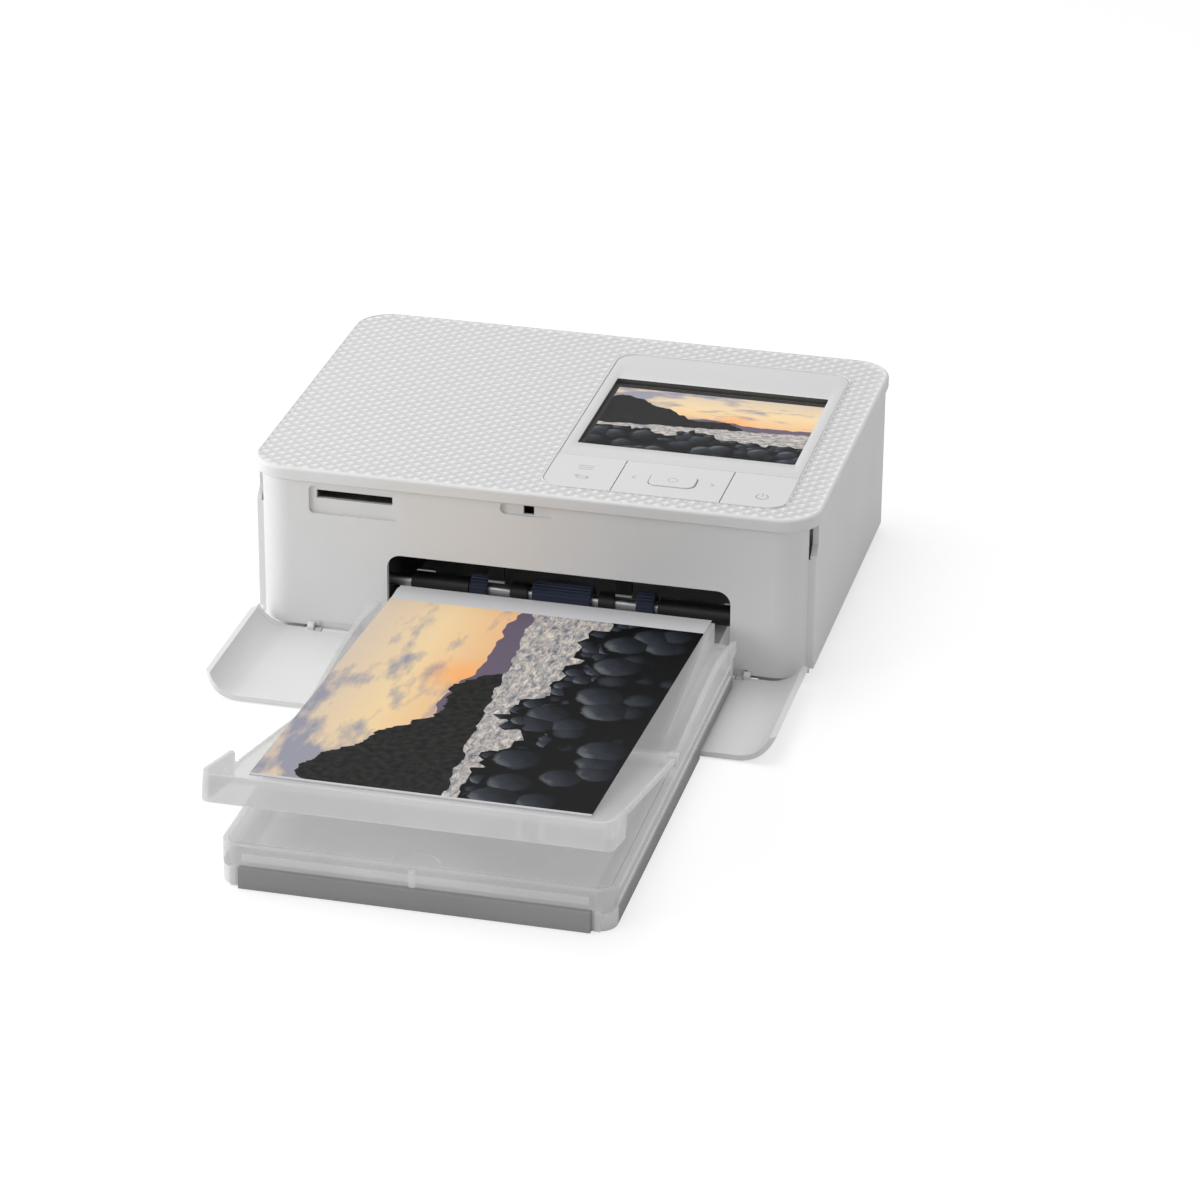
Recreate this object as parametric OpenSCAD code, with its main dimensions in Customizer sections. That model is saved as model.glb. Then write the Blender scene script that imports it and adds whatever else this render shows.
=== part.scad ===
// Compact photo printer: dye-transfer print engine in a flat white case,
// with a paper cassette in its front opening and a finished print on the tray.
// Millimetres, Z up, Y to the back, X to the right.

/* [Case] */
// Width over the top cover
body_w = 182.2; // [176:0.1:190]
// Depth over the top cover
body_d = 133; // [130:0.5:140]
// Height to the top of the cover
body_h = 57.6; // [57:0.1:62]
// Corner radius of the top cover seen from above
corner_r = 12.5; // [11:0.5:14]
// Height of the top cover's lip
lip_h = 4.4; // [4:0.1:5]
// Thickness of the top cover's skin
skin = 2.2; // [2:0.1:2.6]
// Wall thickness of the fascia, side panels and back
wall = 2; // [1.6:0.1:2.4]
// How far the side panels sit inside the top cover's edge
side_inset = 0.9; // [0.5:0.1:1.4]
// How far the fascia sits behind the top cover's front edge
fascia_inset = 1.9; // [1.8:0.1:2.4]
// How far the back wall sits inside the top cover's rear edge
rear_inset = 1.2; // [0.8:0.1:1.6]
// Height of the side panels' lower edge above the table
side_bottom = 4.6; // [4:0.1:5]
// Seam between the case parts
seam = 0.3; // [0.2:0.05:0.4]
// Thickness of the chassis floor
floor_t = 1.6; // [1.2:0.1:1.8]
// Thickness of the rubber feet
foot_h = 0.8; // [0.6:0.1:1]
// Radius of the rubber feet
foot_r = 5.5; // [4:0.5:7]

/* [Control panel] */
// Distance of the control panel's right edge from the case's right side
panel_right = 11.8; // [11.6:0.1:14]
// Width of the control panel
panel_w = 77.5; // [76:0.1:80]
// Depth of the control panel from its back edge to the front of the keys
panel_d = 109.6; // [106:0.1:112]
// Distance of the panel's back edge behind the body's centre
panel_back = 52; // [50:0.5:54]
// Corner radius of the panel
panel_r = 6.5; // [4:0.5:8]
// Width of the display window
lcd_w = 70.2; // [66:0.1:71]
// Depth of the display window
lcd_d = 54.4; // [50:0.1:55]
// Distance of the window's back edge from the panel's back edge
lcd_margin = 20.9; // [18:0.1:22]
// How far the window's glass lies below the panel
lcd_sink = 1.2; // [0.8:0.1:1.5]
// Length of the key row
key_d = 24.2; // [22:0.1:25]
// Width of the menu key
menu_w = 22.6; // [18:0.1:24]
// Width of the rocker between the two grooves
rocker_w = 34.4; // [30:0.1:36]
// Width of the raised key in the middle of the rocker
ok_w = 14.6; // [12:0.1:18]
// Depth of the raised key
ok_d = 9; // [7:0.1:11]
// How far the raised key stands above the rocker
ok_rise = 0.3; // [0.1:0.05:0.5]
// Gap around the keys
key_gap = 0.25; // [0.2:0.05:0.35]
// Travel of the keys
key_travel = 0.4; // [0.3:0.05:0.45]

/* [Front opening and slots] */
// Centre of the paper path, to the right of the body's centre
paper_x = 9.5; // [8:0.5:11]
// Width of the front opening
mouth_w = 110.5; // [110:0.5:112]
// Height of the front opening's top edge
mouth_top = 30.5; // [29:0.5:33]
// Corner radius of the front opening
mouth_r = 4.5; // [3:0.5:6]
// Width of the memory card slot
card_w = 24.7; // [24.4:0.1:25.5]
// Height of the memory card slot
card_h = 2.8; // [2.4:0.1:3]
// Distance of the memory card slot's centre from the case's left side
card_left = 34.7; // [32:0.1:36]
// Bottom of the memory card slot
card_z = 47; // [46:0.1:47.5]
// Width of the recess around the card slot
card_recess_w = 29.3; // [28:0.1:31]
// Height of the recess around the card slot
card_recess_h = 9.5; // [8:0.1:10]
// Depth of the shallow recesses in the fascia
recess_t = 1.1; // [0.8:0.1:1.2]
// Width of the finger recess at the top of the fascia
pull_w = 18; // [14:0.5:20]
// Height of the finger recess
pull_h = 4; // [3.6:0.1:4.4]
// Side of the square latch hole
latch_hole = 3.4; // [3:0.1:3.6]

/* [Front door] */
// Thickness of the front door
door_t = 1.8; // [1.5:0.1:2]
// Radius of the front door's free corners
door_corner_r = 7; // [5:0.5:16]
// Depth of the door's wings around the case's front corners
wing_d = 7.8; // [7:0.1:8]
// Radius of the front door's hinge pins
door_pin_r = 0.6; // [0.5:0.05:0.7]
// Distance of the door's hinge lugs from the case's sides
door_lug_in = 22.7; // [21:0.1:24]
// Reach of the latch hook
hook_reach = 3.2; // [2.6:0.1:3.4]

/* [Ink door] */
// Opening height of the finger notch in the side panels' front edge
notch_h = 10; // [8:0.5:12]
// Depth of that notch
notch_d = 3; // [2:0.1:4]
// Radius of the ink door's hinge pins
side_pin_r = 0.8; // [0.6:0.05:0.9]
// Length of each hinge knuckle
side_knuckle = 8; // [6:0.5:10]
// Distance of the hinges in front of and behind the body's centre
side_hinge_y = 34; // [28:0.5:38]

/* [Paper cassette] */
// Width of the cassette outside the printer
cas_w = 116; // [115:0.1:118]
// Width of the part inside the printer
tongue_w = 107; // [105:0.1:108]
// Room in the cassette in front of the paper stack
stack_room = 10; // [9:0.5:14]
// Rear end of the cassette ahead of the body's centre
cas_rear = 36; // [36:0.5:38]
// Height of the cassette's walls
cas_h = 12.8; // [12.6:0.1:13]
// Height of the joint between the cassette's grey base and its clear upper part
cas_split = 5.6; // [5:0.1:6]
// Wall thickness of the cassette
cas_wall = 1.6; // [1.4:0.1:1.8]
// Thickness of the cassette's bottom
cas_floor = 1.6; // [1.4:0.1:1.8]
// Radius of the cassette's front corners
cas_r = 5.5; // [4:0.5:7]
// Height of the cassette's underside over the open door
cas_lift = 2.7; // [2.6:0.1:3]
// Gap between the open door's edge and the rim that stands on the table
stand_gap = 1; // [0.6:0.1:3]
// Width of the grey front bar
bar_w = 103.6; // [98:0.1:105]
// Height of the grey front bar
bar_h = 6.8; // [5:0.1:7]
// Thickness of the grey front bar
bar_t = 2; // [1.5:0.1:2.4]
// Width of the raised crown that carries the print's rear end
crown_w = 102; // [100.5:0.5:103]
// Height of that crown
crown_h = 20.8; // [19:0.1:21]
// Length of the crown's level part
crown_len = 16; // [10:0.5:24]
// Height of the side rails beside the crown
rail_top = 18.8; // [16:0.1:19]
// Thickness of the inner lid over the paper
lid_t = 1.2; // [1:0.1:1.3]

/* [Output tray] */
// Distance of the tray's hinge ahead of the body's centre
tray_hinge_y = 147; // [147:0.5:148.5]
// Height of the tray's hinge
tray_hinge_z = 14.4; // [14.3:0.1:14.8]
// Distance from the print's front edge to the tray's front wall
stop_room = 14.5; // [12:0.5:18]
// Thickness of the tray's sheet
tray_t = 1.6; // [1.4:0.1:1.8]
// Slope of the tray in use
tray_tilt = 13.2; // [12.6:0.1:14]
// Height of the tray's front ridge above its sheet
tray_ridge = 2.8; // [2:0.1:3.4]
// Depth of the tray's front wall below its sheet
tray_skirt = 5.4; // [4:0.1:7]
// Length of the tray's left ear
tray_ear = 28; // [22:0.5:32]
// Length of the tray's right ear
tray_ear_right = 15; // [12:0.5:32]
// Height of those ears above the sheet
ear_rise = 5; // [3.5:0.1:6]
// How much lower the ears are at their rear end
ear_fall = 1.4; // [0.5:0.1:2]
// Radius of the tray's hinge pins
tray_pin_r = 1; // [0.8:0.1:1.1]

/* [Paper] */
// Width of the paper
paper_w = 100; // [99:0.5:101]
// Length of an unprinted sheet with its tear-off ends
sheet_len = 178; // [176:0.5:180]
// Thickness of the stack of sheets
stack_h = 2.1; // [0.6:0.1:2.2]
// Length of the print on the tray
print_len = 155.5; // [150:0.5:157]
// Thickness of a print
print_t = 0.3; // [0.25:0.05:0.4]
// Rear end of the print ahead of the body's centre
print_rear = 67.4; // [67.2:0.1:70]
// Height of the print's rear end
print_z = 21.4; // [21.1:0.1:22]

/* [Print engine] */
// Radius of the blue feed rollers
feed_r = 4.6; // [4:0.1:4.6]
// Radius of the feed shaft
shaft_r = 2; // [1.8:0.1:2.2]
// Middle of the feed rollers, to the right of the body's centre
feed_x = 8; // [6:0.1:10]
// Height of the feed shaft
feed_z = 15.6; // [15.6:0.1:16]
// Width of the wide feed roller
feed_wide = 19; // [16:0.5:22]
// Width of the two narrow feed rollers
feed_narrow = 5.6; // [4:0.1:7]
// Distance of the narrow feed rollers from the wide one's middle
feed_span = 27; // [25:0.5:30]
// Height of the paper path in the engine
path_z = 22; // [21.8:0.1:22.4]
// Distance of the capstan roller ahead of the body's centre
capstan_y = 28; // [28:0.1:29]
// Radius of the capstan roller
capstan_r = 4; // [3.5:0.1:4.2]
// Radius of the pinch roller
pinch_r = 3.6; // [3:0.1:4]
// Radius of the platen roller
platen_r = 6; // [5:0.1:7]
// Distance of the platen roller behind the body's centre
platen_y = 10; // [9:0.5:11]
// Length of the rollers that carry the paper
roller_len = 104; // [102:0.5:105]
// Module of the gears
gear_m = 0.8; // [0.76:0.01:0.82]
// Width of the gears
gear_w = 4; // [3:0.1:4.2]
// Play between meshing teeth
tooth_play = 0.16; // [0.12:0.02:0.2]
// Radius of the drive motor
motor_r = 10; // [8:0.5:10.5]
// Room between the drive motor and the left side panel
motor_room = 3.9; // [3.5:0.1:8]
// Running clearance of shafts in their bores
run_gap = 0.05; // [0.03:0.01:0.08]
// Distance between the two side frames, measured inside
frame_span = 117.6; // [117:0.1:119]
// Thickness of the side frames
frame_t = 1.6; // [1.2:0.1:1.8]

/* [Ink cassette] */
// Outer radius of the two ribbon tubes
tube_r = 9; // [8.6:0.1:9.2]
// Wall thickness of the ribbon tubes
tube_wall = 1.2; // [1:0.1:1.4]
// Height of the ribbon tubes' axes
tube_z = 33; // [32.8:0.1:33.4]
// Distance of the take-up tube ahead of the body's centre
take_y = 10; // [10:0.1:11]
// Distance of the supply tube behind the body's centre
supply_y = 30; // [29.5:0.1:31]
// Room between the ink cassette's far end and the left side frame
tube_end_gap = 0.5; // [0.3:0.1:1]
// Room between the ink cassette's grip and the shut ink door
grip_room = 5.2; // [5:0.1:8]
// Radius of the ribbon wound on the supply spool
supply_wound = 6; // [5:0.1:7]
// Radius of the ribbon wound on the take-up spool
take_wound = 4.6; // [4:0.1:7]

/* [Boards, fan and sockets] */
// Thickness of the circuit boards
board_t = 1.6; // [1:0.1:1.8]
// Side of the fan's square frame
fan_w = 30; // [28:0.5:31]
// Thickness of the fan
fan_t = 8; // [7:0.5:8]
// Number of fan blades
fan_blades = 7; // [5:1:9]
// Radius of the power inlet's opening
inlet_r = 2.75; // [2.5:0.05:3]
// Width of the data socket's opening
usb_w = 9; // [8.8:0.1:9.4]
// Height of the data socket's opening
usb_h = 3.2; // [3:0.1:3.4]
// Radius of the case screws
screw_r = 1; // [0.9:0.05:1.1]

/* [Hidden] */
$fn = 48;
// Longer than the whole printer, for cuts that run right through it
far = 2 * (body_w + body_d);

// Outer planes of the case, measured from the body's centre
half_w = body_w / 2;
front_y = -body_d / 2;
back_y = body_d / 2;
lip_z = body_h - lip_h;
skin_z = body_h - skin;
fascia_y = front_y + fascia_inset;
fascia_r = corner_r - fascia_inset;
rear_y = back_y - rear_inset;
side_x = half_w - side_inset;
panel_top = lip_z - seam;
floor_z = foot_h;
floor_top = foot_h + floor_t;
fascia_bottom = 2.9;
side_front = front_y + wing_d + seam / 2;
rear_seam = back_y - corner_r + 0.3;
corner_step = 1.2;
panel_x0 = half_w - panel_right - panel_w;
card_x = -half_w + card_left;

// Front door: hinge axis, and the door's outline when it is shut
door_y = front_y + 0.9;
door_z = door_y - front_y + 0.2 + 0.2;
door_x = half_w - 0.2;
door_foot = door_z + 1.6;
door_head = panel_top - 0.2;
door_lug_x = half_w - door_lug_in;
lug_w = 2.2;
arm_w = 10;
lug_r = 1.3;

// The print leans from the crown down to the tray's sheet
print_gap = 0.2;
print_drop = print_z - tray_hinge_z - tray_t / 2 / cos(tray_tilt) - print_gap
    + (tray_hinge_y - print_rear) * tan(tray_tilt);
print_slope = tray_tilt - asin(print_drop * cos(tray_tilt) / print_len);
print_front = print_rear + print_len * cos(print_slope);

// Output tray: its length, and the reach of its front wall at rest
tray_len = (print_front - tray_hinge_y) / cos(tray_tilt) + stop_room;
tray_low = tray_skirt - tray_t / 2;
tray_front = -tray_hinge_y - tray_len * cos(tray_tilt) - tray_low * sin(tray_tilt);
// Middle of the whole footprint, which is the origin
frame_y = (back_y + tray_front) / 2;

// Gear train: tooth counts and centres, from the capstan outwards
capstan_teeth = 30;
feed_teeth = 26;
small_teeth = 16;
big_teeth = 36;
pinion_teeth = 14;
capstan_z = path_z - capstan_r;
mesh_feed = gear_m * (capstan_teeth + feed_teeth) / 2;
mesh_small = gear_m * (capstan_teeth + small_teeth) / 2;
mesh_pinion = gear_m * (big_teeth + pinion_teeth) / 2;
feed_y = -capstan_y - sqrt(pow(mesh_feed, 2) - pow(capstan_z - feed_z, 2));
feed_dir = 180 + asin((capstan_z - feed_z) / mesh_feed);
small_dir = 20;
pinion_dir = 12;
reduction_y = -capstan_y + mesh_small * cos(small_dir);
reduction_z = capstan_z + mesh_small * sin(small_dir);
motor_y = reduction_y + mesh_pinion * cos(pinion_dir);
motor_z = reduction_z + mesh_pinion * sin(pinion_dir);
// Angle of one tooth of a gear that meshes with another in direction dir
function mesh_phase(dir, from_phase, from_teeth, teeth) =
    dir + 180 + 180 / teeth + (dir - from_phase) * from_teeth / teeth;
capstan_phase = 0;
feed_phase = mesh_phase(feed_dir, capstan_phase, capstan_teeth, feed_teeth);
small_phase = mesh_phase(small_dir, capstan_phase, capstan_teeth, small_teeth);
big_phase = small_phase;
pinion_phase = mesh_phase(pinion_dir, big_phase, big_teeth, pinion_teeth);

// Side frames and what runs between them
frame_l = paper_x - frame_span / 2;
frame_r = paper_x + frame_span / 2;
train_x = frame_l - frame_t - 0.8;
outer_train_x = train_x - gear_w - 1;
pinch_gap = 0.3;
pinch_z = path_z + pinch_gap + pinch_r;
pinch_journal = 1.5;
platen_z = path_z - platen_r;
pivot_y = 49;
pivot_z = tube_z + tube_r + 1.6;
pivot_r = 1.5;
axle_r = 1.5;
motor_axle_r = 1;
head_z = 24;
head_half = 51;

// Ink cassette
tube_x0 = frame_l + tube_end_gap;
tube_x1 = paper_x + 54.5;
grip_x1 = side_x - wall - grip_room;
tube_in = tube_r - tube_wall;
ribbon_z = path_z + 1.3;
ribbon_t = 0.1;
spool_gap = 0.4;

// Heights in the control panel
flange_t = 1.5;
flange_reach = 2.5;
plate_z = skin_z - 0.1;
panel_z = body_h - 0.2;
key_z = plate_z + key_travel + 0.1;
key_front = panel_back - panel_d;
key_back = key_front + key_d;
lcd_back = panel_back - lcd_margin;
module_t = 2.8;
lens_t = 0.8;
lens_z = panel_z - lcd_sink;
board_top = plate_z - flange_t - 1.8;
switch_h = 1.2;

// Screw posts
post_x = half_w - 6.2;
post_y = back_y - 16.5;
post_flat = 2.4;
post_r = 2.9;
post_z = 12;
head_r = 1.8;
head_t = 2.4;

// Paper cassette heights
bay_half = mouth_w / 2;
rest_z = cas_lift + cas_floor;
lift_z = rest_z + 0.8;
lift_t = 1;
stack_z = lift_z + lift_t + 0.1;
stack_back = -cas_rear - 4;
cas_front = sheet_len + stack_room - stack_back;
cas_stand = cas_front + door_y + door_z - door_head - stand_gap;
plate_front = -cas_front + 8;
plate_half = paper_w / 2 - 5;
deck_t = 1.6;
deck_front = -tray_hinge_y + 3;
tongue_y = front_y - 0.9;
hook_slot = 3.5;
hook_slot_y = -cas_front + cas_stand - 2;
lid_y = -tray_hinge_y - 4.5;
lid_z = cas_h - 1.2;
lid_pin_r = 0.8;
lid_top = cas_h + 0.4;

// Chassis, hinges, boards, fan and brackets
fan_x0 = 10.9 - post_x;
fan_z0 = 8;
power_z = 6;
power_x0 = post_x - 46.9;
power_x1 = post_x - 10.9;
inlet_x = power_x1 - 11;
inlet_z = power_z + board_t + 5.5;
usb_x = power_x0 + 12;
usb_z = power_z + board_t + usb_h / 2 + 0.4;
chassis_x = half_w - 6.1;
chassis_y = back_y - 4.5;
foot_x = post_x - 16.9;
foot_y = post_y - 4;
rail_h = 12;
side_axis_x = side_x - wall - 1.8;
side_axis_z = side_bottom - 0.8;
side_lug_r = 1.3;
side_arm_h = 3.2;
tab_x = 20.5;
bracket_x = outer_train_x - gear_w - 1.2;
bracket_t = 1.4;
motor_len = side_x - wall - motor_room + bracket_x - bracket_t;
lever_y = 43;
lever_z = 26;
lever_r = 1.2;
board_z = card_z - 0.6 - board_t;
board_x0 = 7.1 - half_w;
board_x1 = frame_l - frame_t - 3.1;
socket_y = fascia_y + wall + 0.3;
socket_len = 27;
fan_mid = [fan_x0 + fan_w / 2, fan_z0 + fan_w / 2];
fan_y = rear_y - wall - fan_t;

// ---------- shapes used by several parts ----------

// Puts a part drawn about the body's centre into the part's own frame
module placed() {
    translate([0, -frame_y, 0])
        children();
}

// Rounded rectangle from its lower left corner
module rounded(w, d, r) {
    translate([r, 0])
        square([w - 2 * r, d]);
    translate([0, r])
        square([w, d - 2 * r]);
    for (x = [r, w - r], y = [r, d - r])
        translate([x, y])
            circle(r);
}

// Rounded rectangle about the origin
module rounded_mid(w, d, r) {
    translate([-w / 2, -d / 2])
        rounded(w, d, r);
}

// Box between two corners
module box(a, b) {
    translate(a)
        cube(b - a);
}

// Shape drawn in the YZ plane, given a thickness along X from x0
module along_x(x0, len) {
    translate([x0, 0, 0])
        rotate([90, 0, 90])
            linear_extrude(len)
                children();
}

// Shape drawn in the XZ plane, given a thickness along Y from y0
module along_y(y0, len) {
    translate([0, y0 + len, 0])
        rotate([90, 0, 0])
            linear_extrude(len)
                children();
}

// Round bar along X
module bar_x(x0, len, y, z, r) {
    translate([x0, y, z])
        rotate([0, 90, 0])
            cylinder(len, r, r);
}

// Round bar along Y
module bar_y(y0, len, x, z, r) {
    translate([x, y0, z])
        rotate([-90, 0, 0])
            cylinder(len, r, r);
}

// Gear outline: involute flanks in three steps
function inv_angle(a) = tan(a) * 180 / PI - a;
function flank_half(r, rb, half_p) = half_p + inv_angle(20) - inv_angle(acos(min(1, rb / r)));
function polar(r, a) = [r * cos(a), r * sin(a)];
function tooth(n, m, mid) =
    let (rp = m * n / 2,
         rb = rp * cos(20),
         ra = rp + 0.92 * m,
         rf = rp - 1.2 * m,
         r0 = max(rb, rf + 0.02),
         half_p = 90 / n - tooth_play / 4 / rp * 180 / PI,
         steps = [0, 0.4, 0.75, 1])
    concat(
        [polar(rf, mid - flank_half(r0, rb, half_p) - 0.4)],
        [for (s = steps) let (r = r0 + (ra - r0) * s) polar(r, mid - flank_half(r, rb, half_p))],
        [for (s = [1, 0.75, 0.4, 0]) let (r = r0 + (ra - r0) * s) polar(r, mid + flank_half(r, rb, half_p))],
        [polar(rf, mid + flank_half(r0, rb, half_p) + 0.4)]);
module gear_shape(n, phase) {
    polygon([for (k = [0 : n - 1]) each tooth(n, gear_m, phase + k * 360 / n)]);
}

// Gear on an X axle at y, z
module gear(n, phase, x0, y, z, bore) {
    difference() {
        along_x(x0, gear_w)
            translate([y, z])
                gear_shape(n, phase);
        bar_x(x0 - 1, gear_w + 2, y, z, bore);
    }
}

// Four places of the screw posts
module at_posts() {
    for (x = [-post_x, post_x], y = [-post_y, post_y])
        translate([x, y, 0])
            children();
}

// ---------- case ----------

module top_cover() {
    color("white") placed() {
        difference() {
            translate([0, 0, lip_z])
                linear_extrude(lip_h)
                    rounded_mid(body_w, body_d, corner_r);
            translate([0, 0, lip_z - 1])
                linear_extrude(lip_h - skin + 1)
                    rounded_mid(body_w - 2 * skin, body_d - 2 * skin, corner_r - skin);
            translate([panel_x0 - key_gap, key_front - key_gap, skin_z - 1])
                linear_extrude(skin + 2)
                    rounded(panel_w + 2 * key_gap, panel_d + 2 * key_gap, panel_r + key_gap);
        }
        at_posts()
            difference() {
                translate([0, 0, post_z + 0.1])
                    cylinder(skin_z - post_z + 0.4, post_r, post_r);
                translate([0, 0, post_z - 1])
                    cylinder(14, screw_r, screw_r);
            }
    }
}

// Outline of the fascia from above, as a strip along its front and corners
module fascia_strip() {
    difference() {
        translate([0, fascia_y + far / 2])
            rounded_mid(2 * (side_x - corner_step), far, fascia_r);
        translate([0, fascia_y + far / 2])
            rounded_mid(2 * (side_x - corner_step - wall), far - 2 * wall, fascia_r - wall);
        translate([-far, side_front - seam])
            square([2 * far, far]);
    }
}

module front_fascia() {
    color("white") placed()
        difference() {
            translate([0, 0, fascia_bottom])
                linear_extrude(panel_top - fascia_bottom)
                    fascia_strip();
            // paper opening, open at the bottom
            along_y(fascia_y - 1, wall + 2)
                translate([paper_x - mouth_w / 2, mouth_top - far])
                    rounded(mouth_w, far, mouth_r);
            // shallow recess and slot for the memory card
            along_y(fascia_y - 1, 1 + recess_t)
                translate([card_x - card_recess_w / 2, card_z + card_h + 1.7 - card_recess_h])
                    rounded(card_recess_w, card_recess_h, 1.5);
            box([card_x - card_w / 2, fascia_y - 1, card_z],
                [card_x + card_w / 2, fascia_y + wall + 1, card_z + card_h]);
            // finger recess and latch hole
            along_y(fascia_y - 1, 1 + recess_t)
                translate([-pull_w / 2, panel_top - 0.1 - pull_h])
                    rounded(pull_w, pull_h, pull_h / 2 - 0.05);
            box([-latch_hole / 2, fascia_y - 1, panel_top - 0.4 - latch_hole],
                [latch_hole / 2, fascia_y + wall + 1, panel_top - 0.4]);
            // notches over the door's hinge arms
            for (s = [-1, 1])
                translate([s * (door_lug_x - lug_w / 2 - arm_w / 2), 0, 0])
                    box([-arm_w / 2 - 1, fascia_y - 1, 0], [arm_w / 2 + lug_w + 1, fascia_y + wall + 1, 4.6]);
        }
}

// Side panel outline in the YZ plane, with the finger notch at its upper front corner
module side_outline() {
    polygon([
        [side_front, side_bottom],
        [rear_seam - seam, side_bottom],
        [rear_seam - seam, panel_top],
        [side_front + notch_d, panel_top],
        [side_front + notch_d, panel_top - notch_h + notch_d],
        [side_front, panel_top - notch_h]
    ]);
}

module left_side_cover() {
    color("white") placed() {
        along_x(-side_x, wall)
            side_outline();
        for (y = [-30, 30])
            box([-side_x + wall, y, side_bottom], [-side_x + wall + 3, y + 6, side_bottom + 5]);
    }
}

module rear_cover() {
    color("white") placed()
        difference() {
            translate([0, 0, side_bottom])
                linear_extrude(panel_top - side_bottom)
                    difference() {
                        translate([0, rear_y - far / 2])
                            rounded_mid(2 * side_x, far, corner_r - rear_inset);
                        translate([0, rear_y - far / 2])
                            rounded_mid(2 * (side_x - wall), far - 2 * wall, corner_r - rear_inset - wall);
                        translate([-far, rear_seam - far])
                            square([2 * far, far]);
                    }
            // rear slot for the sheet while it prints
            along_y(rear_y - wall - 1, wall + 2)
                translate([paper_x - paper_w / 2 - 3, path_z - 2.5])
                    rounded(paper_w + 6, 6, 2);
            // fan vents
            for (k = [0 : 6])
                box([fan_x0 + 3 + k * 3.6, rear_y - wall - 1, fan_z0 + 5],
                    [fan_x0 + 5 + k * 3.6, rear_y + 1, fan_z0 + fan_w - 5]);
            // power inlet and data socket
            bar_y(rear_y - wall - 1, wall + 2, inlet_x, inlet_z, inlet_r + 1.6);
            along_y(rear_y - wall - 1, wall + 2)
                translate([usb_x - usb_w / 2 - 0.6, usb_z - usb_h / 2 - 0.6])
                    rounded(usb_w + 1.2, usb_h + 1.2, 2);
        }
}

module base_chassis() {
    color("whitesmoke") placed()
        difference() {
            union() {
                translate([0, 0, floor_z])
                    linear_extrude(floor_t)
                        rounded_mid(2 * chassis_x, 2 * chassis_y, 8);
                // side rails
                for (s = [-1, 1])
                    translate([s * (chassis_x - 1), 0, 0])
                        box([-1, -50, floor_z], [1, 50, rail_h]);
                // cassette guides
                for (s = [-1, 1])
                    translate([paper_x + s * (bay_half + 0.8), 0, 0])
                        box([-0.8, -chassis_y + 1, floor_z], [0.8, -cas_rear + 4, rail_h - 3]);
                // screw posts, flat on the side where the ink door swings past
                intersection() {
                    at_posts()
                        translate([0, 0, floor_z])
                            cylinder(post_z - floor_z, post_r, post_r);
                    box([-post_x - post_flat, -far, 0], [post_x + post_flat, far, post_z]);
                }
                // standoffs of the power board
                for (x = [power_x0 + 4, power_x1 - 8])
                    box([x, 53, floor_z], [x + 4, 59, power_z]);
                // lugs for the front door's pins
                for (s = [-1, 1])
                    translate([s * door_lug_x, 0, 0]) {
                        bar_x(-lug_w / 2, lug_w, door_y, door_z, lug_r);
                        box([-lug_w / 2, door_y, door_z - 0.9], [lug_w / 2, -chassis_y + 1, floor_top]);
                    }
                // lugs for the ink door's pins
                for (y = [-side_hinge_y, side_hinge_y], s = [-1, 1])
                    translate([0, y + s * (side_knuckle / 2 + 2.3), 0]) {
                        bar_y(-2, 4, side_axis_x, side_axis_z, side_lug_r);
                        box([chassis_x - 0.5, -2, side_axis_z - side_lug_r],
                            [side_axis_x, 2, side_axis_z + side_lug_r]);
                    }
            }
            // screw holes with room for the heads
            at_posts() {
                cylinder(30, screw_r + 0.2, screw_r + 0.2);
                cylinder(post_z / 2, head_r + 0.2, head_r + 0.2);
            }
            // running bores of the two doors
            for (s = [-1, 1])
                bar_x(s * door_lug_x - 3, 6, door_y, door_z, door_pin_r + run_gap);
            for (y = [-side_hinge_y, side_hinge_y])
                bar_y(y - 12, 24, side_axis_x, side_axis_z, side_pin_r + run_gap);
            // clearance for the ink door's knuckles
            for (y = [-side_hinge_y, side_hinge_y])
                box([side_axis_x - 2.4, y - side_knuckle / 2 - 0.3, side_axis_z - 2],
                    [chassis_x + 3, y + side_knuckle / 2 + 0.3, side_axis_z + 2.4]);
        }
}

module rubber_feet() {
    color("dimgray") placed()
        for (s = [-1, 1]) {
            translate([s * foot_x, foot_y, 0])
                cylinder(foot_h, foot_r, foot_r);
            translate([s * (foot_x + 6), -foot_y, 0])
                cylinder(foot_h, foot_r, foot_r);
        }
}

module case_screws() {
    color("silver") placed()
        at_posts() {
            translate([0, 0, post_z / 2 - head_t])
                cylinder(head_t, head_r, head_r);
            translate([0, 0, post_z / 2])
                cylinder(post_z + 4, screw_r, screw_r);
        }
}

// ---------- front door ----------

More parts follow.
